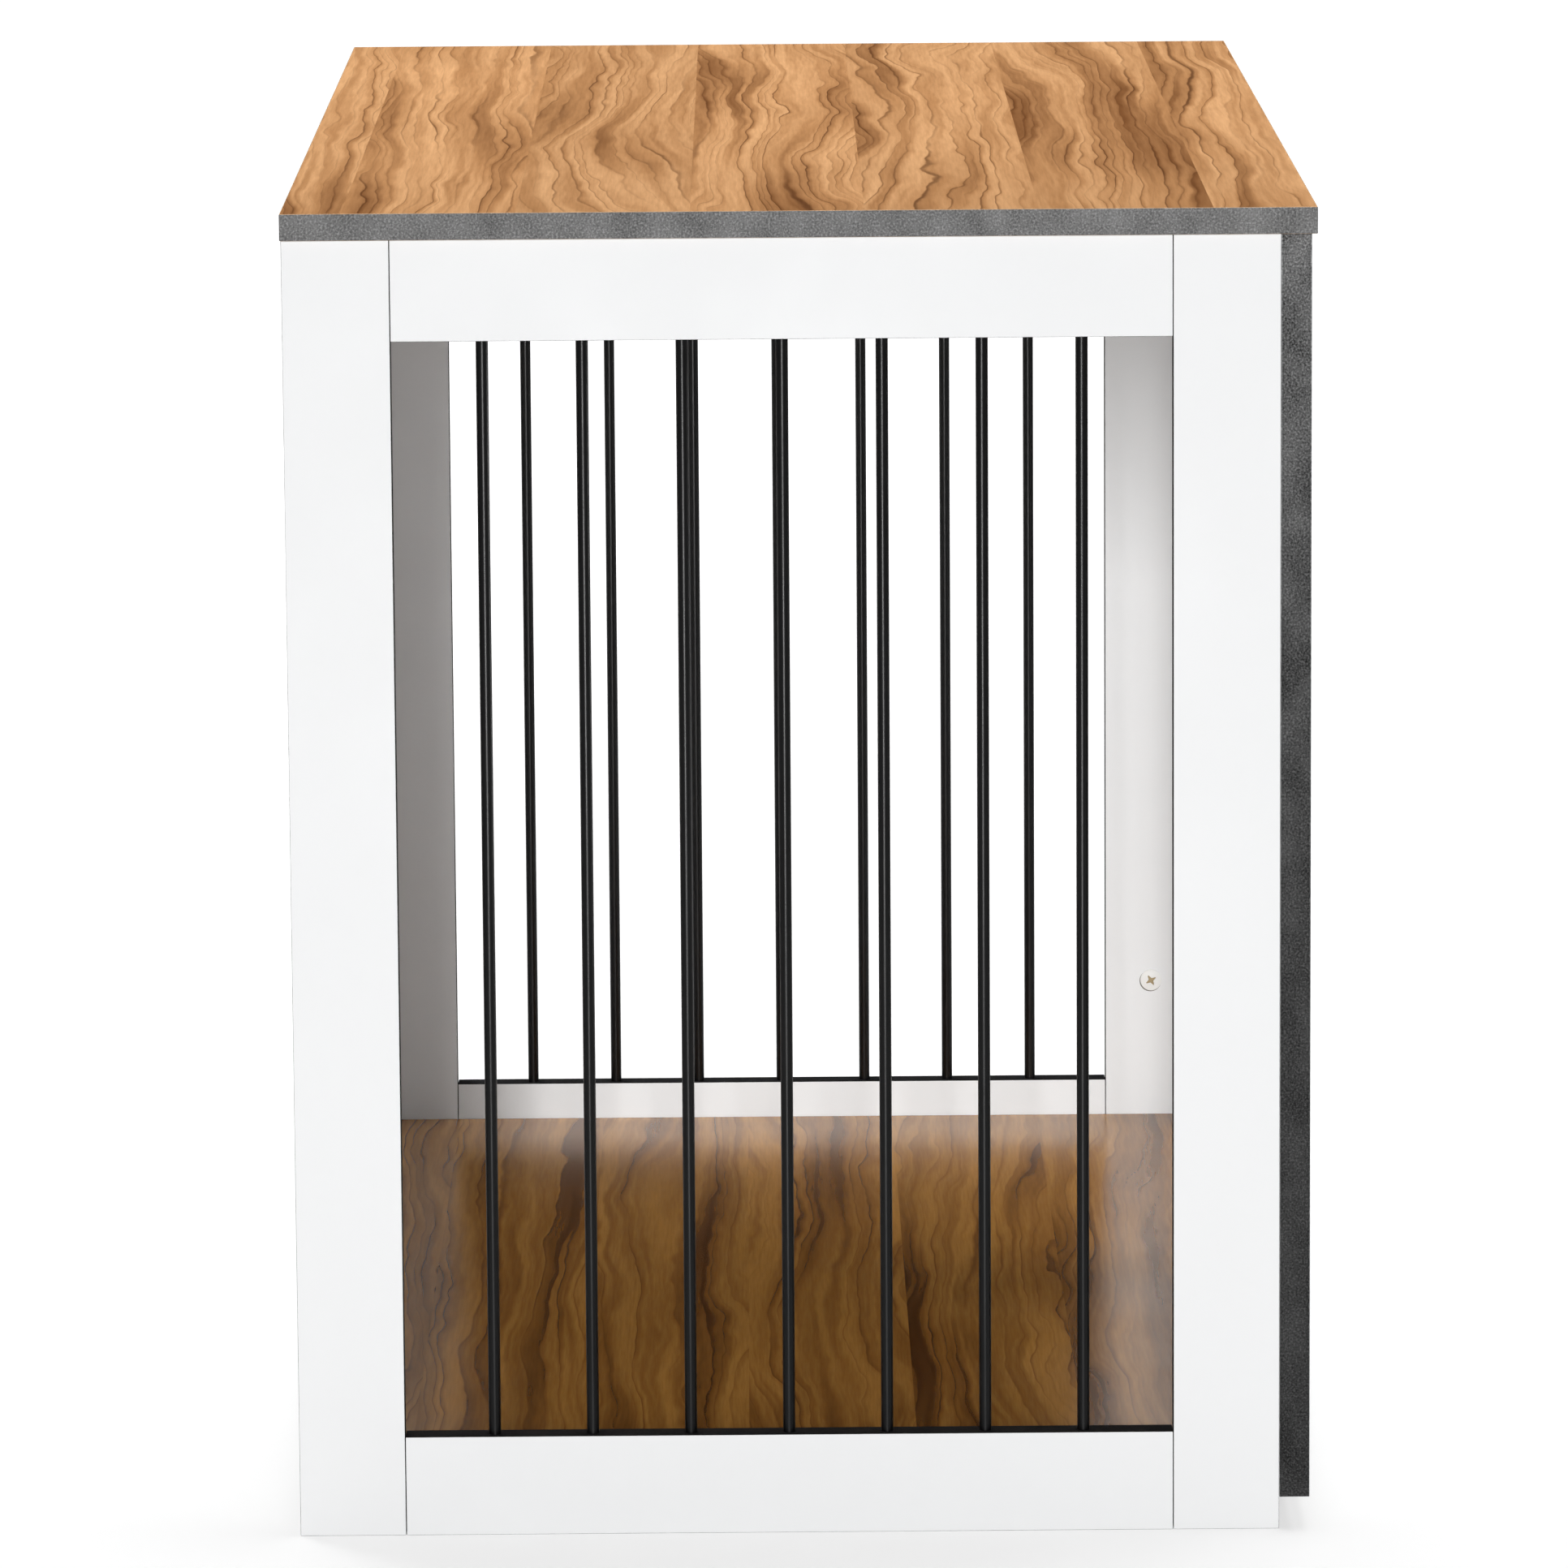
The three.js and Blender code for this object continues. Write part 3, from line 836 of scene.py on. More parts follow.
def coated(name, colour, roughness, grain, depth, specular=0.5, spread=0.12, tint=0.04):
    """A coating of one colour with grit, and with clouds in its tone and gloss.

    The grain is the grit's count in a metre and the depth its height. Spread and tint say
    how much the clouds change the roughness and the colour.
    """
    material, tree, shader, place = new_material(name)
    grit = effect(tree, "fine grit", make_grit_group, {"Vector": place, "Scale": grain})
    clouds = grit["Clouds"]
    darker = tuple(channel * (1 - tint) for channel in colour)
    lighter = tuple(min(1.0, channel * (1 + tint)) for channel in colour)
    tone = mixed(tree, between(tree, clouds, 0.3, 0.7), solid(darker), solid(lighter))
    tree.links.new(tone, shader.inputs["Base Color"])
    gloss = between(tree, clouds, 0.3, 0.7, roughness - spread / 2, roughness + spread / 2)
    tree.links.new(gloss, shader.inputs["Roughness"])
    shader.inputs["Specular IOR Level"].default_value = specular
    raise_surface(tree, shader, grit["Grit"], depth)
    return material


def bare_core(name, colour, fleck, foot_shade):
    """The sawn edge of a board, with painted light and shade: palest at the table's top, as if lit
    from above, and darker towards its foot.

    The painted shade is foot + (1 - foot) * (z / height)^3.
    """
    material, tree, shader, place = new_material(name)
    inputs = {"Vector": place, "Base": solid(colour), "Fleck": fleck}
    core = effect(tree, "board core", make_core_group, inputs)
    # Painted shade: the edge's colour darkens towards the table's foot.
    height = maths(tree, "DIVIDE", axes_of(tree, place)[2], cad_high.z, clamp=True)
    rise = maths(tree, "POWER", height, 3.0)
    shade = maths(tree, "ADD", maths(tree, "MULTIPLY", rise, 1 - foot_shade), foot_shade)
    tree.links.new(multiplied(tree, core["Color"], grey(tree, shade)), shader.inputs["Base Color"])
    shader.inputs["Roughness"].default_value = 0.78
    shader.inputs["Specular IOR Level"].default_value = 0.3
    raise_surface(tree, shader, core["Height"], 0.08 * MM)
    return material


def post_core(name):
    """The bare edge of a front post: sawn core between two thin skins of laminate.

    The skins are the first 0.8 mm behind each face, and a dark glue line follows up to
    1.2 mm behind it. Both end within 0.1 mm.
    """
    # Painted shade: a post's edge darkens to about a quarter of its colour towards its foot.
    material = bare_core(name, bpy.context.scene.crate_boards.core, 0.85, 0.24)
    tree = material.node_tree
    base = tree.nodes["Principled BSDF"].inputs["Base Color"]
    core = base.links[0].from_socket
    place = put(tree, "ShaderNodeTexCoord", {}).outputs["Object"]
    middle = (FRONT_FACE_Y + FRONT_BACK_Y) / 2
    half = (FRONT_BACK_Y - FRONT_FACE_Y) / 2
    off = maths(tree, "ABSOLUTE", maths(tree, "SUBTRACT", axes_of(tree, place)[1], middle))
    glue, skin = (
        between(tree, off, half - depth - 0.1 * MM, half - depth + 0.1 * MM)
        for depth in (1.2 * MM, 0.8 * MM)
    )
    tone = mixed(tree, glue, core, multiplied(tree, core, (0.72, 0.72, 0.72, 1)))
    tone = mixed(tree, skin, tone, multiplied(tree, core, (1.3, 1.32, 1.32, 1)))
    tree.links.new(tone, base)
    return material


def softer_bounce(tree, colour):
    """A colour that throws greyer light on its neighbours than the camera sees in it."""
    diffuse_ray = put(tree, "ShaderNodeLightPath", {}).outputs["Is Diffuse Ray"]
    share = maths(tree, "MULTIPLY", diffuse_ray, BOUNCE_SHARE)
    return mixed(tree, share, colour, solid(BOUNCE_COLOUR))


def wood_laminate(name, colours, lines, shift, roughness, specular, relief):
    """The wood print in four colours from light to dark, with the pattern shifted.

    The lines are the growth lines in a metre across the grain, and the relief is the depth
    of the pores.
    """
    material, tree, shader, place = new_material(name)
    shifted = put(tree, "ShaderNodeVectorMath", {0: place, 1: shift}, operation="ADD").outputs[0]
    inputs = {"Plank Width": bpy.context.scene.crate_wood.plank_width, "Line Density": lines}
    inputs.update(zip(WOOD_COLOURS, map(solid, colours)))
    grain = effect(tree, "wood print", make_wood_group, {"Vector": shifted, **inputs})
    tree.links.new(softer_bounce(tree, grain["Color"]), shader.inputs["Base Color"])
    gloss = between(tree, noise(tree, place, 9.0), 0.3, 0.7, roughness - 0.02, roughness + 0.02)
    tree.links.new(gloss, shader.inputs["Roughness"])
    shader.inputs["Specular IOR Level"].default_value = specular
    if relief:
        raise_surface(tree, shader, grain["Height"], relief)
    return material


def material_of(name, maker, *values, **named):
    """A material by name, made the first time that it is asked for."""
    return bpy.data.materials.get(name) or maker(name, *values, **named)


def zinc_plate(name):
    """Zinc-plated steel."""
    material, tree, shader, place = new_material(name)
    cloud = noise(tree, place, 160.0, 3.0)
    tone = mixed(tree, between(tree, cloud, 0.3, 0.7), (0.5, 0.5, 0.5, 1), (0.66, 0.66, 0.65, 1))
    tree.links.new(tone, shader.inputs["Base Color"])
    shader.inputs["Metallic"].default_value = 1.0
    tree.links.new(between(tree, cloud, 0.3, 0.7, 0.28, 0.42), shader.inputs["Roughness"])
    return material


def board_materials(node):
    """Face, edge in painted shade and bare outer edge of a white board.

    The front posts' edges are bare. The others are the same core darkened near to black as painted
    shade, except a stile's outer edge, which stays bare.
    """
    boards = bpy.context.scene.crate_boards
    face = material_of(
        "white laminate", coated, boards.white, roughness=0.42, grain=700.0, depth=0.01 * MM,
        specular=0.4, spread=0.08, tint=0.006,
    )
    if node.endswith("_post"):
        return [face, material_of("board core", post_core)]
    # Painted shade: the frame's and doors' edges are the core darkened near to black.
    edge = material_of("stained edge", bare_core, boards.painted_shade_edge, fleck=0.4, foot_shade=0.8)
    if node.endswith(("_front_stile", "_rear_stile")):
        outer = material_of("stile core", bare_core, boards.core, fleck=0.7, foot_shade=0.6)
        return [face, edge, outer]
    return [face, edge]


def bar_coating():
    """Black coating of the bars."""
    return material_of(
        "bar coating", coated, bpy.context.scene.crate_steel.bar, roughness=0.3, grain=1500.0,
        depth=0.004 * MM, specular=0.38, spread=0.04, tint=0.2,
    )


def blackened_steel():
    """Blackened steel of the hinges and the latch."""
    return material_of(
        "blackened steel", coated, bpy.context.scene.crate_steel.hinge, roughness=0.36,
        grain=1300.0, depth=0.015 * MM, specular=0.6, spread=0.14, tint=0.2,
    )


# ---- boards ----


def make_board(node, body, face_axis, seam_axis=None, tools=(), bare_side=None):
    """One white board with its edges, in the place of its node, cut by round tools.

    The edge on the bare side, by its number in rounded_block, keeps the bare core colour instead of
    the other edges' painted shade.
    """
    boards = bpy.context.scene.crate_boards
    low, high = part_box(node)
    if seam_axis is not None:
        low[seam_axis] += boards.seam
        high[seam_axis] -= boards.seam
    points, faces, sides = rounded_block(low, high, boards.arris)
    slots = np.where(sides // 2 == face_axis, 0, 1)
    if bare_side is not None:
        slots[sides == bare_side] = 2
    piece = new_piece(f"{node}_board", points, faces, board_materials(node), slots)
    if tools:
        carve(piece, *joined(tools), 1)
    weigh_normals(piece)
    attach(piece, body)
    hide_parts(node)


def bar_sockets(bars, edge_z, upwards):
    """Round tools that drill a rail's edge where the bars enter it."""
    tools = []
    for bar in bars:
        low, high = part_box(bar)
        radius = (high.x - low.x) / 2 + SOCKET_AIR
        deep = high.z + SOCKET_AIR if upwards else low.z - SOCKET_AIR
        bounds = sorted((edge_z + (-1 if upwards else 1) * MM, deep))
        middle = (low + high) / 2
        tools.append(upright_rod(radius, middle.x, middle.y, *bounds, edge=0.1 * MM, steps=32))
    return tools


def barrel_grooves(side):
    """Round tools that make room for the hinge barrels in a board's edge."""
    tools = []
    for level in LEVELS:
        low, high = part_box(f"{side}_{level}_hinge_frame_leaf")
        bounds = (low.z - 0.4 * MM, high.z + 0.4 * MM)
        place = (SIDES[side] * HINGE_AXIS_X, FRONT_FACE_Y)
        radius = BARREL_RADIUS + GROOVE_AIR
        tools.append(upright_rod(radius, *place, *bounds, edge=0.1 * MM, steps=32))
    return tools


def make_side_boards(side):
    """The two stiles and two rails of a side frame."""
    bars = [f"{side}_bar_{number + 1}" for number in range(SIDE_BARS)]
    make_board(f"{side}_front_stile", "cabinet", 0, bare_side=2)
    make_board(f"{side}_rear_stile", "cabinet", 0, bare_side=3)
    top, bottom = f"{side}_top_rail", f"{side}_bottom_rail"
    make_board(top, "cabinet", 0, 1, bar_sockets(bars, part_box(top)[0].z, True))
    make_board(bottom, "cabinet", 0, 1, bar_sockets(bars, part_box(bottom)[1].z, False))


def make_door_boards(side):
    """The two stiles and two rails of a door."""
    body = f"{side}_door"
    bars = [f"{body}_bar_{number + 1}" for number in range(DOOR_BARS)]
    make_board(f"{body}_hinge_stile", body, 1, None, barrel_grooves(side))
    make_board(f"{body}_latch_stile", body, 1)
    top, bottom = f"{body}_top_rail", f"{body}_bottom_rail"
    make_board(top, body, 1, 0, bar_sockets(bars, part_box(top)[0].z, True))
    make_board(bottom, body, 1, 0, bar_sockets(bars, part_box(bottom)[1].z, False))


def make_wood_board(node, laminate):
    """The table top or the floor board: wood print above and below, bare edges."""
    boards = bpy.context.scene.crate_boards
    low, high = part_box(node)
    points, faces, sides = rounded_block(low, high, boards.arris, 4)
    middle = points[faces[0]].mean(axis=1)
    near_edge = np.minimum(middle - np.array(low), np.array(high) - middle)[:, :2].min(axis=1)
    slots = np.where(sides // 2 == 2, 0, 1)
    slots[(sides // 2 == 2) & (near_edge < boards.arris)] = 2
    edge = material_of("top edge", bare_core, boards.top_edge, fleck=0.52, foot_shade=0.8)
    rim = material_of(
        "cut laminate", coated, boards.cut_line, roughness=0.5, grain=900.0, depth=0.02 * MM
    )
    piece = new_piece(f"{node}_board", points, faces, [laminate, edge, rim], slots)
    weigh_normals(piece)
    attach(piece, "cabinet")
    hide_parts(node)


class CrateTableTop(bpy.types.Operator):
    """The table top and the floor board, with their printed grain"""

    bl_idname = "crate_table.wood_boards"
    bl_label = "Table top and floor"

    def execute(self, context):
        wood = context.scene.crate_wood
        colours = (wood.light, wood.mid, wood.dark, wood.vein)
        top = wood_laminate(
            "wood laminate", colours, lines=wood.line_density, shift=(0, 0.022, 0),
            roughness=0.34, specular=0.3, relief=0.02 * MM,
        )
        make_wood_board("table_top", top)
        # Painted shade: the floor board is the top's print, darkened and more saturated as in the
        # crate's shade.
        darker = [
            [channel * part * shade for channel, part in zip(colour, wood.floor_painted_shade)]
            for colour, shade in zip(colours, FLOOR_SHADES)
        ]
        floor = wood_laminate(
            "floor laminate", darker, lines=0.6 * wood.line_density, shift=(2.3, 0.55, 0),
            roughness=0.24, specular=0.35, relief=0.0,
        )
        make_wood_board("floor_panel", floor)
        return {"FINISHED"}


class CrateWhiteBoards(bpy.types.Operator):
    """The side frames, the front frame, the doors' boards and the back"""

    bl_idname = "crate_table.white_boards"
    bl_label = "White boards"

    def execute(self, context):
        for side in SIDES:
            make_side_boards(side)
            make_door_boards(side)
            make_board(f"front_{side}_post", "cabinet", 1, None, barrel_grooves(side))
        make_board("front_top_rail", "cabinet", 1, 0)
        make_board("front_bottom_rail", "cabinet", 1, 0)
        make_board("back_panel", "cabinet", 1, 0)
        return {"FINISHED"}


# ---- bars ----


def make_bar(node, body):
    """One coated round bar."""
    low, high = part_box(node)
    middle = (low + high) / 2
    points, faces = upright_rod((high.x - low.x) / 2, middle.x, middle.y, low.z, high.z)
    piece = new_piece(f"{node}_rod", points, faces, [bar_coating()])
    weigh_normals(piece)
    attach(piece, body)
    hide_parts(node)


class CrateBars(bpy.types.Operator):
    """The bars of the side frames and the doors"""

    bl_idname = "crate_table.bars"
    bl_label = "Bars"

    def execute(self, context):
        for side in SIDES:
            for number in range(SIDE_BARS):
                make_bar(f"{side}_bar_{number + 1}", "cabinet")
            for number in range(DOOR_BARS):
                make_bar(f"{side}_door_bar_{number + 1}", f"{side}_door")
        return {"FINISHED"}


# ---- hinges, knobs and latch ----


def barrel_parts(side, spans):
    """Knuckles of a hinge, each a short upright rod between two heights."""
    place = (SIDES[side] * HINGE_AXIS_X, FRONT_FACE_Y)
    return [upright_rod(BARREL_RADIUS, *place, low, high, 0.35 * MM) for low, high in spans]


def leaf_part(low, high, x, facing):
    """A hinge leaf on a board's edge, from its outer face at x towards the facing side."""
    half_depth, half_height = (high.y - low.y) / 2, (high.z - low.z) / 2
    points, faces = plate_surface(half_depth, half_height, LEAF_CORNER, LEAF_THICKNESS, 0.2 * MM)
    centre = (x, (low.y + high.y) / 2, (low.z + high.z) / 2)
    return placed(points, centre, (facing, 0, 0), (0, facing, 0)), faces


def leaf_screws(name, low, high, x, facing, body):
    """The three flush screws of a hinge leaf."""
    parts = []
    for step in HINGE_SCREW_STEPS:
        points, faces = screw_head(HINGE_SCREW_RADIUS, 0.18 * MM, 0.12 * MM)
        y = low.y + HINGE_SCREW_REACH * (high.y - low.y)
        centre = (x, y, low.z + step * (high.z - low.z))
        turn = 0.6 + 5 * step
        across = (0, math.cos(turn), math.sin(turn))
        parts.append((placed(points, centre, (facing, 0, 0), across), faces))
    piece = new_piece(name, *joined(parts), [blackened_steel()])
    weigh_normals(piece)
    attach(piece, body)


def make_hinge(side, sign, level):
    """A butt hinge: frame leaf with two knuckles and the pin, door leaf with one knuckle."""
    name = f"{side}_{level}_hinge"
    low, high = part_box(f"{name}_frame_leaf")
    leaf_low = Vector((low.x, FRONT_FACE_Y, low.z))
    leaf_high = Vector((high.x, high.y, high.z))
    third = (high.z - low.z) / 3
    lower_end, upper_start = low.z + third - KNUCKLE_GAP, high.z - third + KNUCKLE_GAP
    frame_x, door_x = sign * POST_INNER_X, sign * DOOR_HINGE_X
    frame_parts = barrel_parts(side, [(low.z, lower_end), (upper_start, high.z)])
    frame_parts.append(leaf_part(leaf_low, leaf_high, frame_x, -sign))
    pin = rod_profile(PIN_RADIUS, low.z - 0.5 * MM, high.z + 0.5 * MM, 0.6 * MM)
    points, faces = turned_surface(pin, 24)
    frame_parts.append((points + np.array([sign * HINGE_AXIS_X, FRONT_FACE_Y, 0]), faces))
    door_parts = barrel_parts(side, [(low.z + third, high.z - third)])
    door_parts.append(leaf_part(leaf_low, leaf_high, door_x, sign))
    leaves = (("frame", "cabinet", frame_parts), ("door", f"{side}_door", door_parts))
    for part, body, parts in leaves:
        piece = new_piece(f"{name}_{part}_plate", *joined(parts), [blackened_steel()])
        weigh_normals(piece)
        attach(piece, body)
        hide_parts(f"{name}_{part}_leaf")
    frame_face, door_face = frame_x - sign * LEAF_THICKNESS, door_x + sign * LEAF_THICKNESS
    leaf_screws(f"{name}_frame_screws", leaf_low, leaf_high, frame_face, -sign, "cabinet")
    leaf_screws(f"{name}_door_screws", leaf_low, leaf_high, door_face, sign, f"{side}_door")


class CrateHinges(bpy.types.Operator):
    """Four butt hinges with their screws"""

    bl_idname = "crate_table.hinges"
    bl_label = "Hinges"

    def execute(self, context):
        for side, sign in SIDES.items():
            for level in LEVELS:
                make_hinge(side, sign, level)
        return {"FINISHED"}


def knob_profile(length):
    """Radius and height of a knob: foot, neck, and a head with a rounded rim."""
    corners = [
        (0, 0), (8, 0), (8, 0), (8, 1.6), (5.2, 3.2), (4.8, 6), (5, 9.5), (11.2, 12), (12.6, 16),
        (11.6, 20.5), (7, 22), (0, 22),
    ]
    scale = length / 22
    return smooth_profile([(radius * MM, height * scale) for radius, height in corners])


def make_knob(side):
    """A turned door knob."""
    node = f"{side}_door_knob"
    low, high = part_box(node)
    points, faces = turned_surface(knob_profile(high.y - low.y), 72)
    centre = ((low.x + high.x) / 2, high.y, (low.z + high.z) / 2)
    coat = material_of(
        "knob coating", coated, bpy.context.scene.crate_steel.hinge, roughness=0.3, grain=900.0,
        depth=0.01 * MM, specular=0.55,
    )
    points = placed(points, centre, (0, -1, 0), (1, 0, 0))
    piece = new_piece(f"{node}_turned", points, faces, [coat])
    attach(piece, f"{side}_door")
    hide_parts(node)


class CrateKnobs(bpy.types.Operator):
    """The two door knobs"""

    bl_idname = "crate_table.knobs"
    bl_label = "Knobs"

    def execute(self, context):
        for side in SIDES:
            make_knob(side)
        return {"FINISHED"}


def latch_plate(low, high):
    """A plate on a door's face, with rounded corners, facing the front."""
    half_width, half_height = (high.x - low.x) / 2, (high.z - low.z) / 2
    points, faces = plate_surface(
        half_width, half_height, LATCH_PLATE_CORNER, LATCH_PLATE_THICKNESS, 0.3 * MM
    )
    centre = ((low.x + high.x) / 2, FRONT_FACE_Y, (low.z + high.z) / 2)
    return placed(points, centre, (0, -1, 0), (1, 0, 0)), faces


def strap(x, axis_z, reach, half_height, nose_radius, way):
    """A block on a plate, along X, with a way through it for the bolt.

    Its section lies in Y and Z: the outer outline has round corners at the nose, and the
    way is the given outline.
    """
    root_y = FRONT_FACE_Y - LATCH_PLATE_THICKNESS / 2
    nose_y = FRONT_FACE_Y - LATCH_PLATE_THICKNESS - reach
    centre_y = (root_y + nose_y) / 2
    half_depth = (root_y - nose_y) / 2
    offset = np.array([FRONT_FACE_Y - BOLT_STANDOFF - centre_y, 0])

    def outer(grow):
        small = 0.4 * MM + max(grow, -0.3 * MM)
        corners = [small, nose_radius + grow, nose_radius + grow, small]
        return rounded_outline(half_depth + grow, half_height + grow, corners)

    def inner(grow):
        return way(grow) + offset

    points, faces = pierced_surface(outer, inner, STRAP_LENGTH, 0.35 * MM)
    return placed(points, (x, centre_y, axis_z), (1, 0, 0), (0, 1, 0)), faces


def round_way(radius):
    """Outline of a round way, with the corners of the outer outline's count."""
    return lambda grow: rounded_outline(radius + grow, radius + grow, [radius + grow] * 4)


def square_way(half):
    """Outline of a square way with small corners."""
    return lambda grow: rounded_outline(half + grow, half + grow, [0.8 * MM + grow] * 4)


def fitting(name, parts, body, node=None):
    """A black fitting of the latch, made of closed surfaces."""
    piece = new_piece(name, *joined(parts), [blackened_steel()])
    weigh_normals(piece)
    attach(piece, body)
    if node:
        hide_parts(node)


def face_screws(name, places, radius, body):
    """Screws on a latch plate."""
    parts = []
    for number, (x, z) in enumerate(places):
        points, faces = screw_head(radius, 0.55 * MM, 0.35 * MM)
        centre = (x, FRONT_FACE_Y - LATCH_PLATE_THICKNESS, z)
        turn = 0.4 + 1.9 * number
        across = (math.cos(turn), 0, math.sin(turn))
        parts.append((placed(points, centre, (0, -1, 0), across), faces))
    fitting(name, parts, body)


def make_guide(axis_z):
    """The bolt's guide on the left door: a plate, two saddles and four screws."""
    low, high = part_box("latch_guide")
    way = round_way(BOLT_RADIUS + BOLT_AIR)
    parts = [latch_plate(low, high)]
    for x in (low.x + STRAP_INSET, high.x - STRAP_INSET - STRAP_LENGTH):
        parts.append(strap(x, axis_z, SADDLE_REACH, SADDLE_HALF_HEIGHT, 5 * MM, way))
    fitting("latch_guide_straps", parts, "left_door", "latch_guide")
    columns = (low.x + 12 * MM, high.x - 12 * MM)
    rows = (axis_z - 7.6 * MM, axis_z + 7.6 * MM)
    places = [(x, z) for x in columns for z in rows]
    face_screws("latch_guide_screws", places, 2.3 * MM, "left_door")


def make_keeper(axis_z):
    """The bolt's keeper on the right door: a plate, a staple and two screws."""
    low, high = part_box("latch_keeper")
    way = square_way(STAPLE_HALF_WINDOW)
    x = low.x + STRAP_INSET
    staple = strap(x, axis_z, STAPLE_REACH, STAPLE_HALF_HEIGHT, 2.6 * MM, way)
    fitting("latch_keeper_staple", [latch_plate(low, high), staple], "right_door", "latch_keeper")
    places = [(high.x - 3.4 * MM, axis_z + rise) for rise in (-7.2 * MM, 7.2 * MM)]
    face_screws("latch_keeper_screws", places, 2 * MM, "right_door")


def make_bolt(axis_z):
    """The bolt: a rod along X with a ball-ended handle to the front."""
    low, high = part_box("latch_bolt")
    axis_y = FRONT_FACE_Y - BOLT_STANDOFF
    points, faces = turned_surface(rod_profile(BOLT_RADIUS, 0, high.x - low.x, 0.9 * MM))
    rod = placed(points, (low.x, axis_y, axis_z), (1, 0, 0), (0, 1, 0)), faces
    reach = axis_y - low.y
    ball = HANDLE_BALL_RADIUS
    angle = np.linspace(math.radians(-52), math.pi / 2, 16)
    head = np.stack([ball * np.cos(angle), reach - ball + ball * np.sin(angle)], axis=-1)
    neck = (HANDLE_RADIUS, reach - 2 * ball + 0.6 * MM)
    profile = [(0, 0), (HANDLE_RADIUS, 0), neck, *head[:-1].tolist(), (0, reach)]
    points, faces = turned_surface(profile, 40)
    foot = (high.x - HANDLE_OFFSET, axis_y, axis_z)
    handle = placed(points, foot, (0, -1, 0), (1, 0, 0)), faces
    fitting("latch_bolt_rod", [rod, handle], "latch_bolt", "latch_bolt")


class CrateLatch(bpy.types.Operator):
    """The sliding bolt, its guide, its keeper and their screws"""

    bl_idname = "crate_table.latch"
    bl_label = "Latch"

    def execute(self, context):
        low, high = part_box("latch_guide")
        axis_z = (low.z + high.z) / 2
        make_guide(axis_z)
        make_keeper(axis_z)
        make_bolt(axis_z)
        return {"FINISHED"}


# ---- small fittings inside ----


def make_side_fitting(side, sign, level, z):
    """A round cross-recessed fitting on the inner face of a front stile, and its painted shadow.

    Faces that lie well under the dome take the recess's colour. The painted shadow is a dark disc a
    little wider than the cap, set a little lower and towards the back, so that a dark crescent shows
    at the cap's edge.
    """
    steel = bpy.context.scene.crate_steel
    cap = material_of(
        "fitting cap", coated, steel.cap, roughness=0.38, grain=700.0, depth=0.01 * MM
    )
    recess = material_of(
        "fitting recess", coated, steel.recess, roughness=0.5, grain=700.0, depth=0.02 * MM
    )
    shadow_material = material_of(
        "drilled hole", coated, steel.drilled, roughness=0.6, grain=700.0, depth=0.02 * MM
    )
    points, faces = screw_head(
        FITTING_RADIUS, FITTING_RISE, FITTING_DOME, cross=0.5, deep=0.14, steps=96, rings=30
    )
    middles = np.concatenate([points[corners].mean(axis=1) for corners in faces])
    from_axis = np.hypot(middles[:, 0], middles[:, 1])
    domed = FITTING_RISE - FITTING_DOME * (from_axis / FITTING_RADIUS) ** 2
    sunk = (middles[:, 2] < domed - 0.3 * MM) & (from_axis < 5 * MM)
    x, y = sign * SIDE_INNER_X, SIDE_FRONT_Y + FITTING_FROM_EDGE
    across = (0, math.cos(FITTING_TURN), math.sin(FITTING_TURN))
    points = placed(points, (x, y, z), (-sign, 0, 0), across)
    slots = np.where(sunk, 1, 0)
    piece = new_piece(f"{side}_{level}_fitting", points, faces, [cap, recess], slots)
    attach(piece, "cabinet")
    # Painted shadow: a dark disc behind the cap, set low, shows as a crescent under it.
    disc = rod_profile(SHADOW_DISC_RADIUS, -0.5 * MM, 0.05 * MM, 0.04 * MM)
    points, faces = turned_surface(disc, 64)
    points = placed(points, (x, y + 0.25 * MM, z - 0.55 * MM), (-sign, 0, 0), (0, 1, 0))
    piece = new_piece(f"{side}_{level}_fitting_hole", points, faces, [shadow_material])
    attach(piece, "cabinet")


def make_catch(side, near, far):
    """A magnetic catch behind the front top rail: its case, and the seat that it stands on."""
    plastic = material_of(
        "catch plastic", coated, bpy.context.scene.crate_steel.hinge, roughness=0.5, grain=500.0,
        depth=0.02 * MM,
    )
    top_z = FRONT_RAIL_LOW_Z + CATCH_HEIGHT
    low = (near, FRONT_BACK_Y + STRIKE_AIR, DOOR_TOP_Z - CATCH_HEIGHT)
    case = rounded_block(low, (far, FRONT_BACK_Y + CATCH_DEPTH, top_z), 1 * MM)[:2]
    low = (near, FRONT_BACK_Y, FRONT_RAIL_LOW_Z + 0.5 * MM)
    seat = rounded_block(low, (far, FRONT_BACK_Y + STRIKE_AIR + 1 * MM, top_z), 0.5 * MM)[:2]
    piece = new_piece(f"{side}_magnetic_catch", *joined([case, seat]), [plastic])
    weigh_normals(piece)
    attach(piece, "cabinet")


def make_strike_plate(side, near, far):
    """The plate on a door's back that the catch holds, with its screw."""
    thickness = 1 * MM
    half_width, half_height = (far - near) / 2 - 2 * MM, 5.5 * MM
    points, faces = plate_surface(half_width, half_height, 1.5 * MM, thickness, 0.2 * MM)
    x, z = (near + far) / 2, DOOR_TOP_Z - 7 * MM
    plate = placed(points, (x, FRONT_BACK_Y, z), (0, 1, 0), (-1, 0, 0)), faces
    points, faces = screw_head(2 * MM, 0.45 * MM, 0.3 * MM)
    screw = placed(points, (x, FRONT_BACK_Y + thickness, z), (0, 1, 0), (0.8, 0, 0.6)), faces
    zinc = material_of("zinc", zinc_plate)
    piece = new_piece(f"{side}_strike_plate", *joined([plate, screw]), [zinc])
    weigh_normals(piece)
    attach(piece, f"{side}_door")


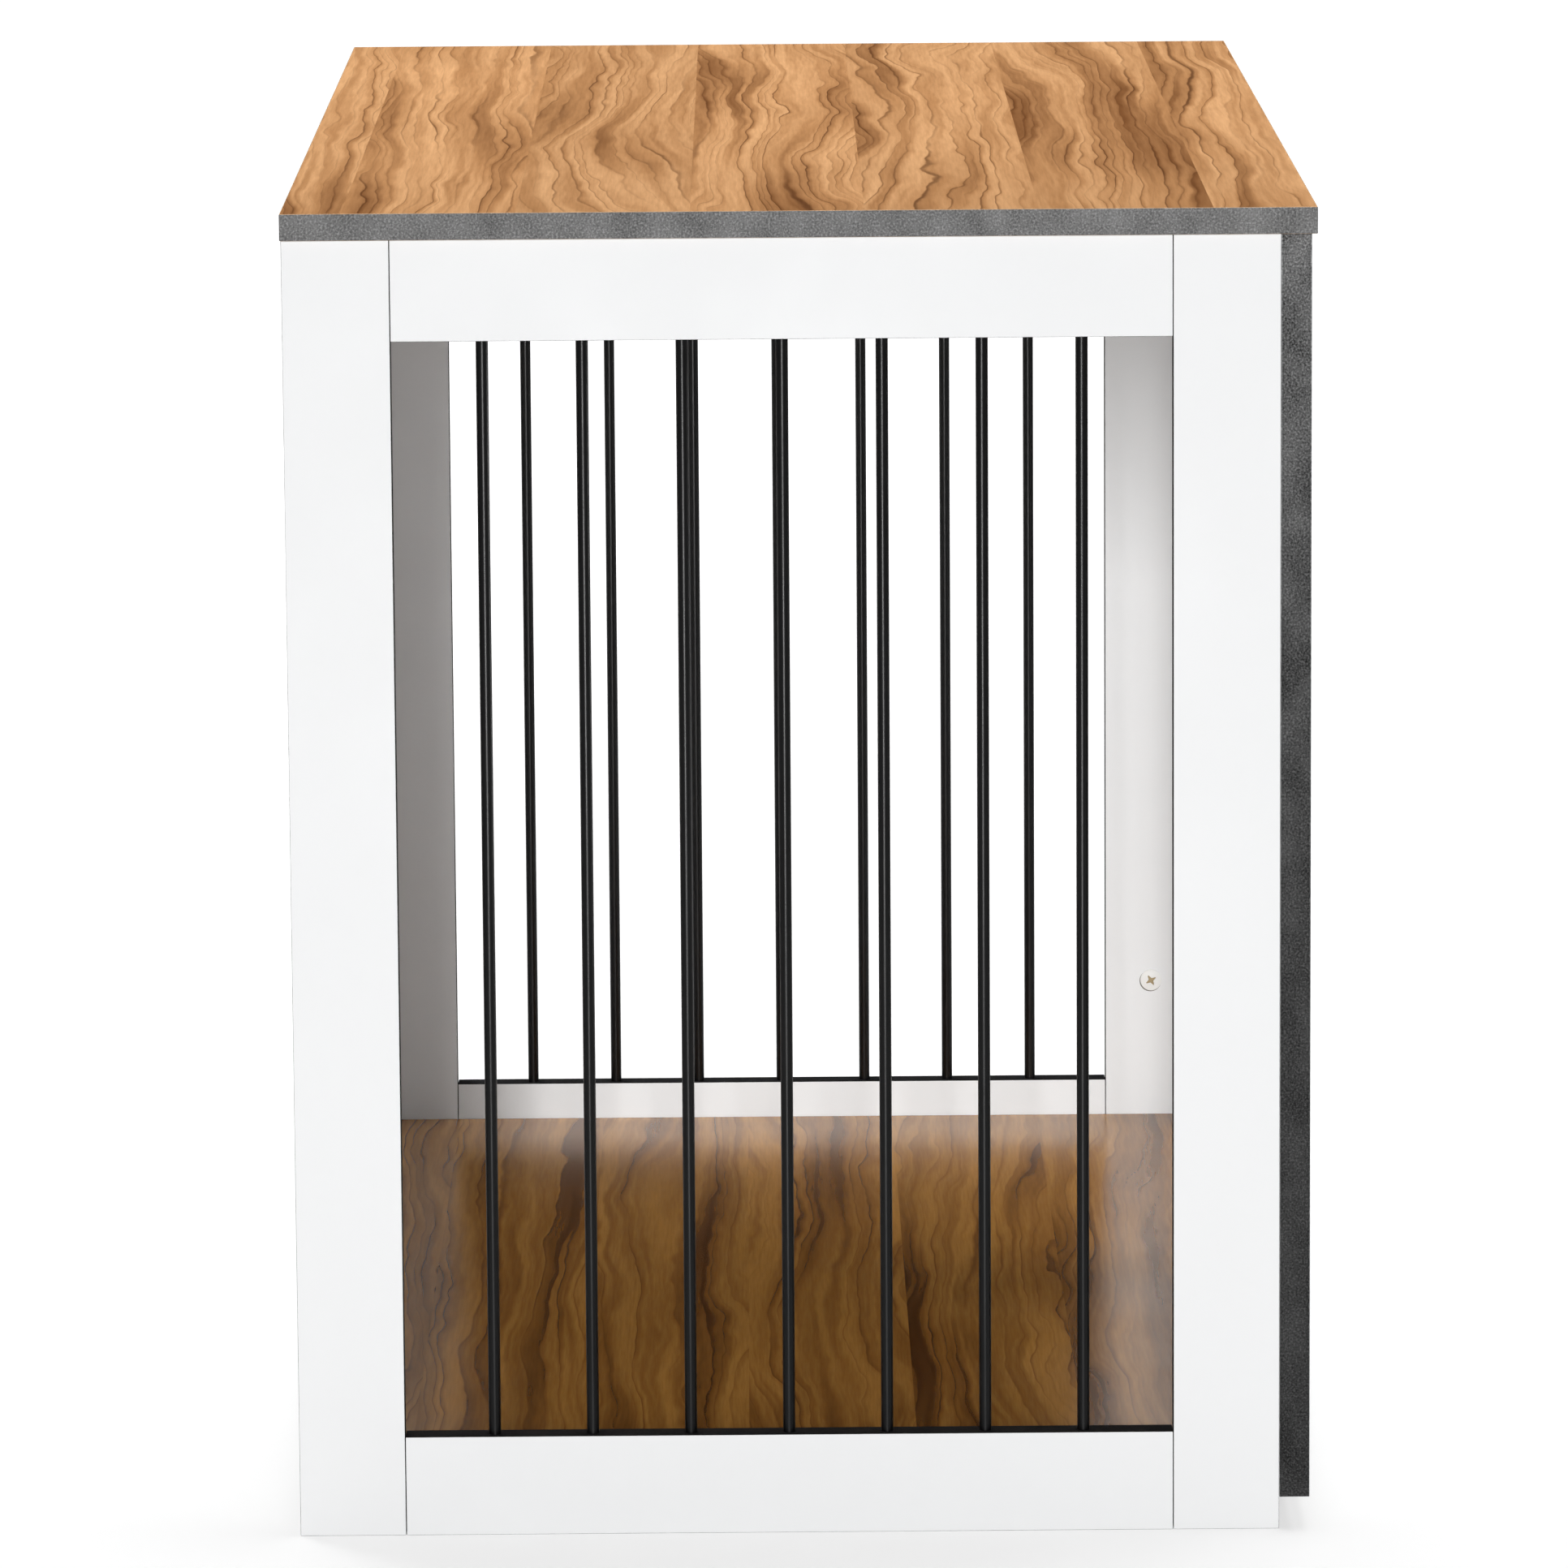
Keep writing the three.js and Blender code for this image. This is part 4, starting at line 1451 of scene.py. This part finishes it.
class CrateSmallFittings(bpy.types.Operator):
    """The fittings inside the front stiles, and the catches of the doors"""

    bl_idname = "crate_table.small_fittings"
    bl_label = "Small fittings"

    def execute(self, context):
        for side, sign in SIDES.items():
            for level, z in zip(LEVELS, FITTING_HEIGHTS):
                make_side_fitting(side, sign, level, z)
            near, far = sorted((sign * CATCH_START, sign * CATCH_END))
            make_catch(side, near, far)
            make_strike_plate(side, near, far)
        return {"FINISHED"}


# ---- stage ----


def shows_itself(tree, mirror_share):
    """1 for rays from the camera and for transmitted ones, a share for mirrored ones, else 0."""
    path = put(tree, "ShaderNodeLightPath", {}).outputs
    seen = maths(tree, "MAXIMUM", path["Is Camera Ray"], path["Is Transmission Ray"])
    return maths(tree, "MAXIMUM", seen, maths(tree, "MULTIPLY", path["Is Glossy Ray"], mirror_share))


def make_floor(stage):
    """A wide pale floor that takes the shadow. Its glow for the camera grows to white far off."""
    corners = [(x * FLOOR_REACH, y * FLOOR_REACH, 0) for x, y in ((-1, -1), (1, -1), (1, 1), (-1, 1))]
    material = bpy.data.materials.new("pale floor")
    material.use_nodes = True
    tree = material.node_tree
    tree.nodes.remove(tree.nodes["Principled BSDF"])
    matt = put(tree, "ShaderNodeBsdfDiffuse", {"Color": solid(stage.floor)})
    place = put(tree, "ShaderNodeTexCoord", {}).outputs["Object"]
    away = put(tree, "ShaderNodeVectorMath", {0: place}, operation="LENGTH").outputs["Value"]
    glow_level = between(tree, away, GLOW_START, GLOW_END, stage.floor_glow, 1.0)
    strength = maths(tree, "MULTIPLY", shows_itself(tree, stage.mirror_share), glow_level)
    glow = put(tree, "ShaderNodeEmission", {"Color": (1, 1, 1, 1), "Strength": strength})
    both = put(tree, "ShaderNodeAddShader", {0: matt.outputs[0], 1: glow.outputs[0]})
    tree.links.new(both.outputs[0], tree.nodes["Material Output"].inputs["Surface"])
    faces = (np.arange(4).reshape(1, 4), NO_TRIANGLES)
    floor = new_piece("stage_floor", corners, faces, [material])


def make_world(stage):
    """Even grey light, in place of which the camera and mirrored rays see a white room."""
    world = bpy.data.worlds.new("studio")
    bpy.context.scene.world = world
    world.use_nodes = True
    tree = world.node_tree
    background = tree.nodes["Background"]
    height = axes_of(tree, put(tree, "ShaderNodeTexCoord", {}).outputs["Generated"])[2]
    room = between(tree, height, *map(math.sin, ROOM_EDGE), 1.0, ROOM_OVERHEAD)
    shown = maths(tree, "MULTIPLY", shows_itself(tree, stage.mirror_share), room)
    unseen = maths(tree, "SUBTRACT", 1.0, shows_itself(tree, 1.0))
    even = maths(tree, "MULTIPLY", unseen, stage.fill)
    background.inputs["Color"].default_value = (1, 1, 1, 1)
    tree.links.new(maths(tree, "ADD", even, shown), background.inputs["Strength"])


def make_lamp(name, place, target, size, power, glint=False):
    """A soft lamp that faces a point. A glint lamp only makes highlights, the others only light."""
    lamp = bpy.data.lights.new(name, "AREA")
    lamp.shape = "RECTANGLE"
    lamp.size, lamp.size_y = size
    lamp.energy = power
    holder = bpy.data.objects.new(name, lamp)
    holder.location = place
    holder.rotation_euler = (Vector(target) - Vector(place)).to_track_quat("-Z", "Y").to_euler()
    holder.visible_camera = False
    holder.visible_glossy = glint
    holder.visible_diffuse = not glint
    bpy.context.scene.collection.objects.link(holder)


def key_place(bearing):
    """A place far off the left end, by degrees from the table's length towards its back."""
    turn = math.radians(bearing)
    x, y = -KEY_DISTANCE * math.cos(turn), KEY_DISTANCE * math.sin(turn)
    return x, y, AIM[2] + KEY_RISE


def make_camera():
    """The camera at the photograph's place, looking along the table with a slight roll."""
    lens = bpy.data.cameras.new("camera")
    lens.lens = CAMERA_LENS
    lens.sensor_width = CAMERA_SENSOR
    lens.clip_end = 200.0
    camera = bpy.data.objects.new("camera", lens)
    heading = Matrix.Rotation(-math.pi / 2 - CAMERA_YAW, 4, "Z")
    tilt = Matrix.Rotation(math.pi / 2 - CAMERA_PITCH, 4, "X")
    roll = Matrix.Rotation(-CAMERA_ROLL, 4, "Z")
    camera.matrix_world = Matrix.Translation(CAMERA_PLACE) @ heading @ tilt @ roll
    bpy.context.scene.collection.objects.link(camera)
    bpy.context.scene.camera = camera


class CrateStage(bpy.types.Operator):
    """The camera, the floor, the room and the lamps"""

    bl_idname = "crate_table.stage"
    bl_label = "Stage"

    def execute(self, context):
        stage = context.scene.crate_stage
        context.scene.view_settings.view_transform = "Standard"
        make_camera()
        make_floor(stage)
        make_world(stage)
        make_lamp("key lamp", key_place(3.0), AIM, (4.9, 9.4), stage.key_power)
        make_lamp("key core", key_place(2.5), AIM, (1.4, 9.4), stage.core_power)
        make_lamp("front lamp", (0.4, -3.4, 0.75), AIM, (2.6, 1.2), stage.front_power)
        make_lamp("rear lamp", (3.2, 3.0, 1.6), AIM, (2.0, 1.6), stage.rear_power)
        make_lamp("top lamp", (0.35, 0.0, 3.1), AIM, (2.0, 1.8), stage.top_power)
        make_lamp("door lamp", (0.1, -1.1, 1.6), (0.0, -0.1, 0.1), (1.0, 0.3), stage.door_power)
        glint = stage.glint_power
        make_lamp("left glint", (-2.7, 0.02, 0.17), (-0.45, 0.0, 0.3), (0.22, 0.3), glint, True)
        make_lamp("front glint", (0.3, -2.6, 0.33), (0.0, -0.26, 0.33), (0.5, 0.6), glint, True)
        return {"FINISHED"}


# ---- panel and start ----


OPERATORS = (
    CrateStage,
    CrateTableTop,
    CrateWhiteBoards,
    CrateBars,
    CrateHinges,
    CrateKnobs,
    CrateLatch,
    CrateSmallFittings,
)
SETTINGS = {
    "crate_boards": CrateBoardSettings,
    "crate_wood": CrateWoodSettings,
    "crate_steel": CrateSteelSettings,
    "crate_stage": CrateStageSettings,
}


class CratePanel(bpy.types.Panel):
    """Buttons for the pieces and the stage"""

    bl_idname = "VIEW3D_PT_crate_table"
    bl_label = "Dog crate end table"
    bl_space_type = "VIEW_3D"
    bl_region_type = "UI"
    bl_category = "Crate table"

    def draw(self, context):
        for operator in OPERATORS:
            self.layout.operator(operator.bl_idname)
        for name, settings in SETTINGS.items():
            box = self.layout.box()
            for field in settings.__annotations__:
                box.prop(getattr(context.scene, name), field)


def register():
    """Makes the settings, the operators and the panel known to Blender."""
    for settings in SETTINGS.values():
        bpy.utils.register_class(settings)
    for name, settings in SETTINGS.items():
        setattr(bpy.types.Scene, name, PointerProperty(type=settings))
    for part in (*OPERATORS, CratePanel):
        bpy.utils.register_class(part)


def unregister():
    """Takes them back, in the opposite order."""
    for part in (CratePanel, *reversed(OPERATORS)):
        bpy.utils.unregister_class(part)
    for name in SETTINGS:
        delattr(bpy.types.Scene, name)
    for settings in reversed(SETTINGS.values()):
        bpy.utils.unregister_class(settings)


def main():
    """Builds the stage and all pieces."""
    register()
    bpy.ops.crate_table.stage()
    bpy.ops.crate_table.wood_boards()
    bpy.ops.crate_table.white_boards()
    bpy.ops.crate_table.bars()
    bpy.ops.crate_table.hinges()
    bpy.ops.crate_table.knobs()
    bpy.ops.crate_table.latch()
    bpy.ops.crate_table.small_fittings()


if __name__ == "__main__":
    main()
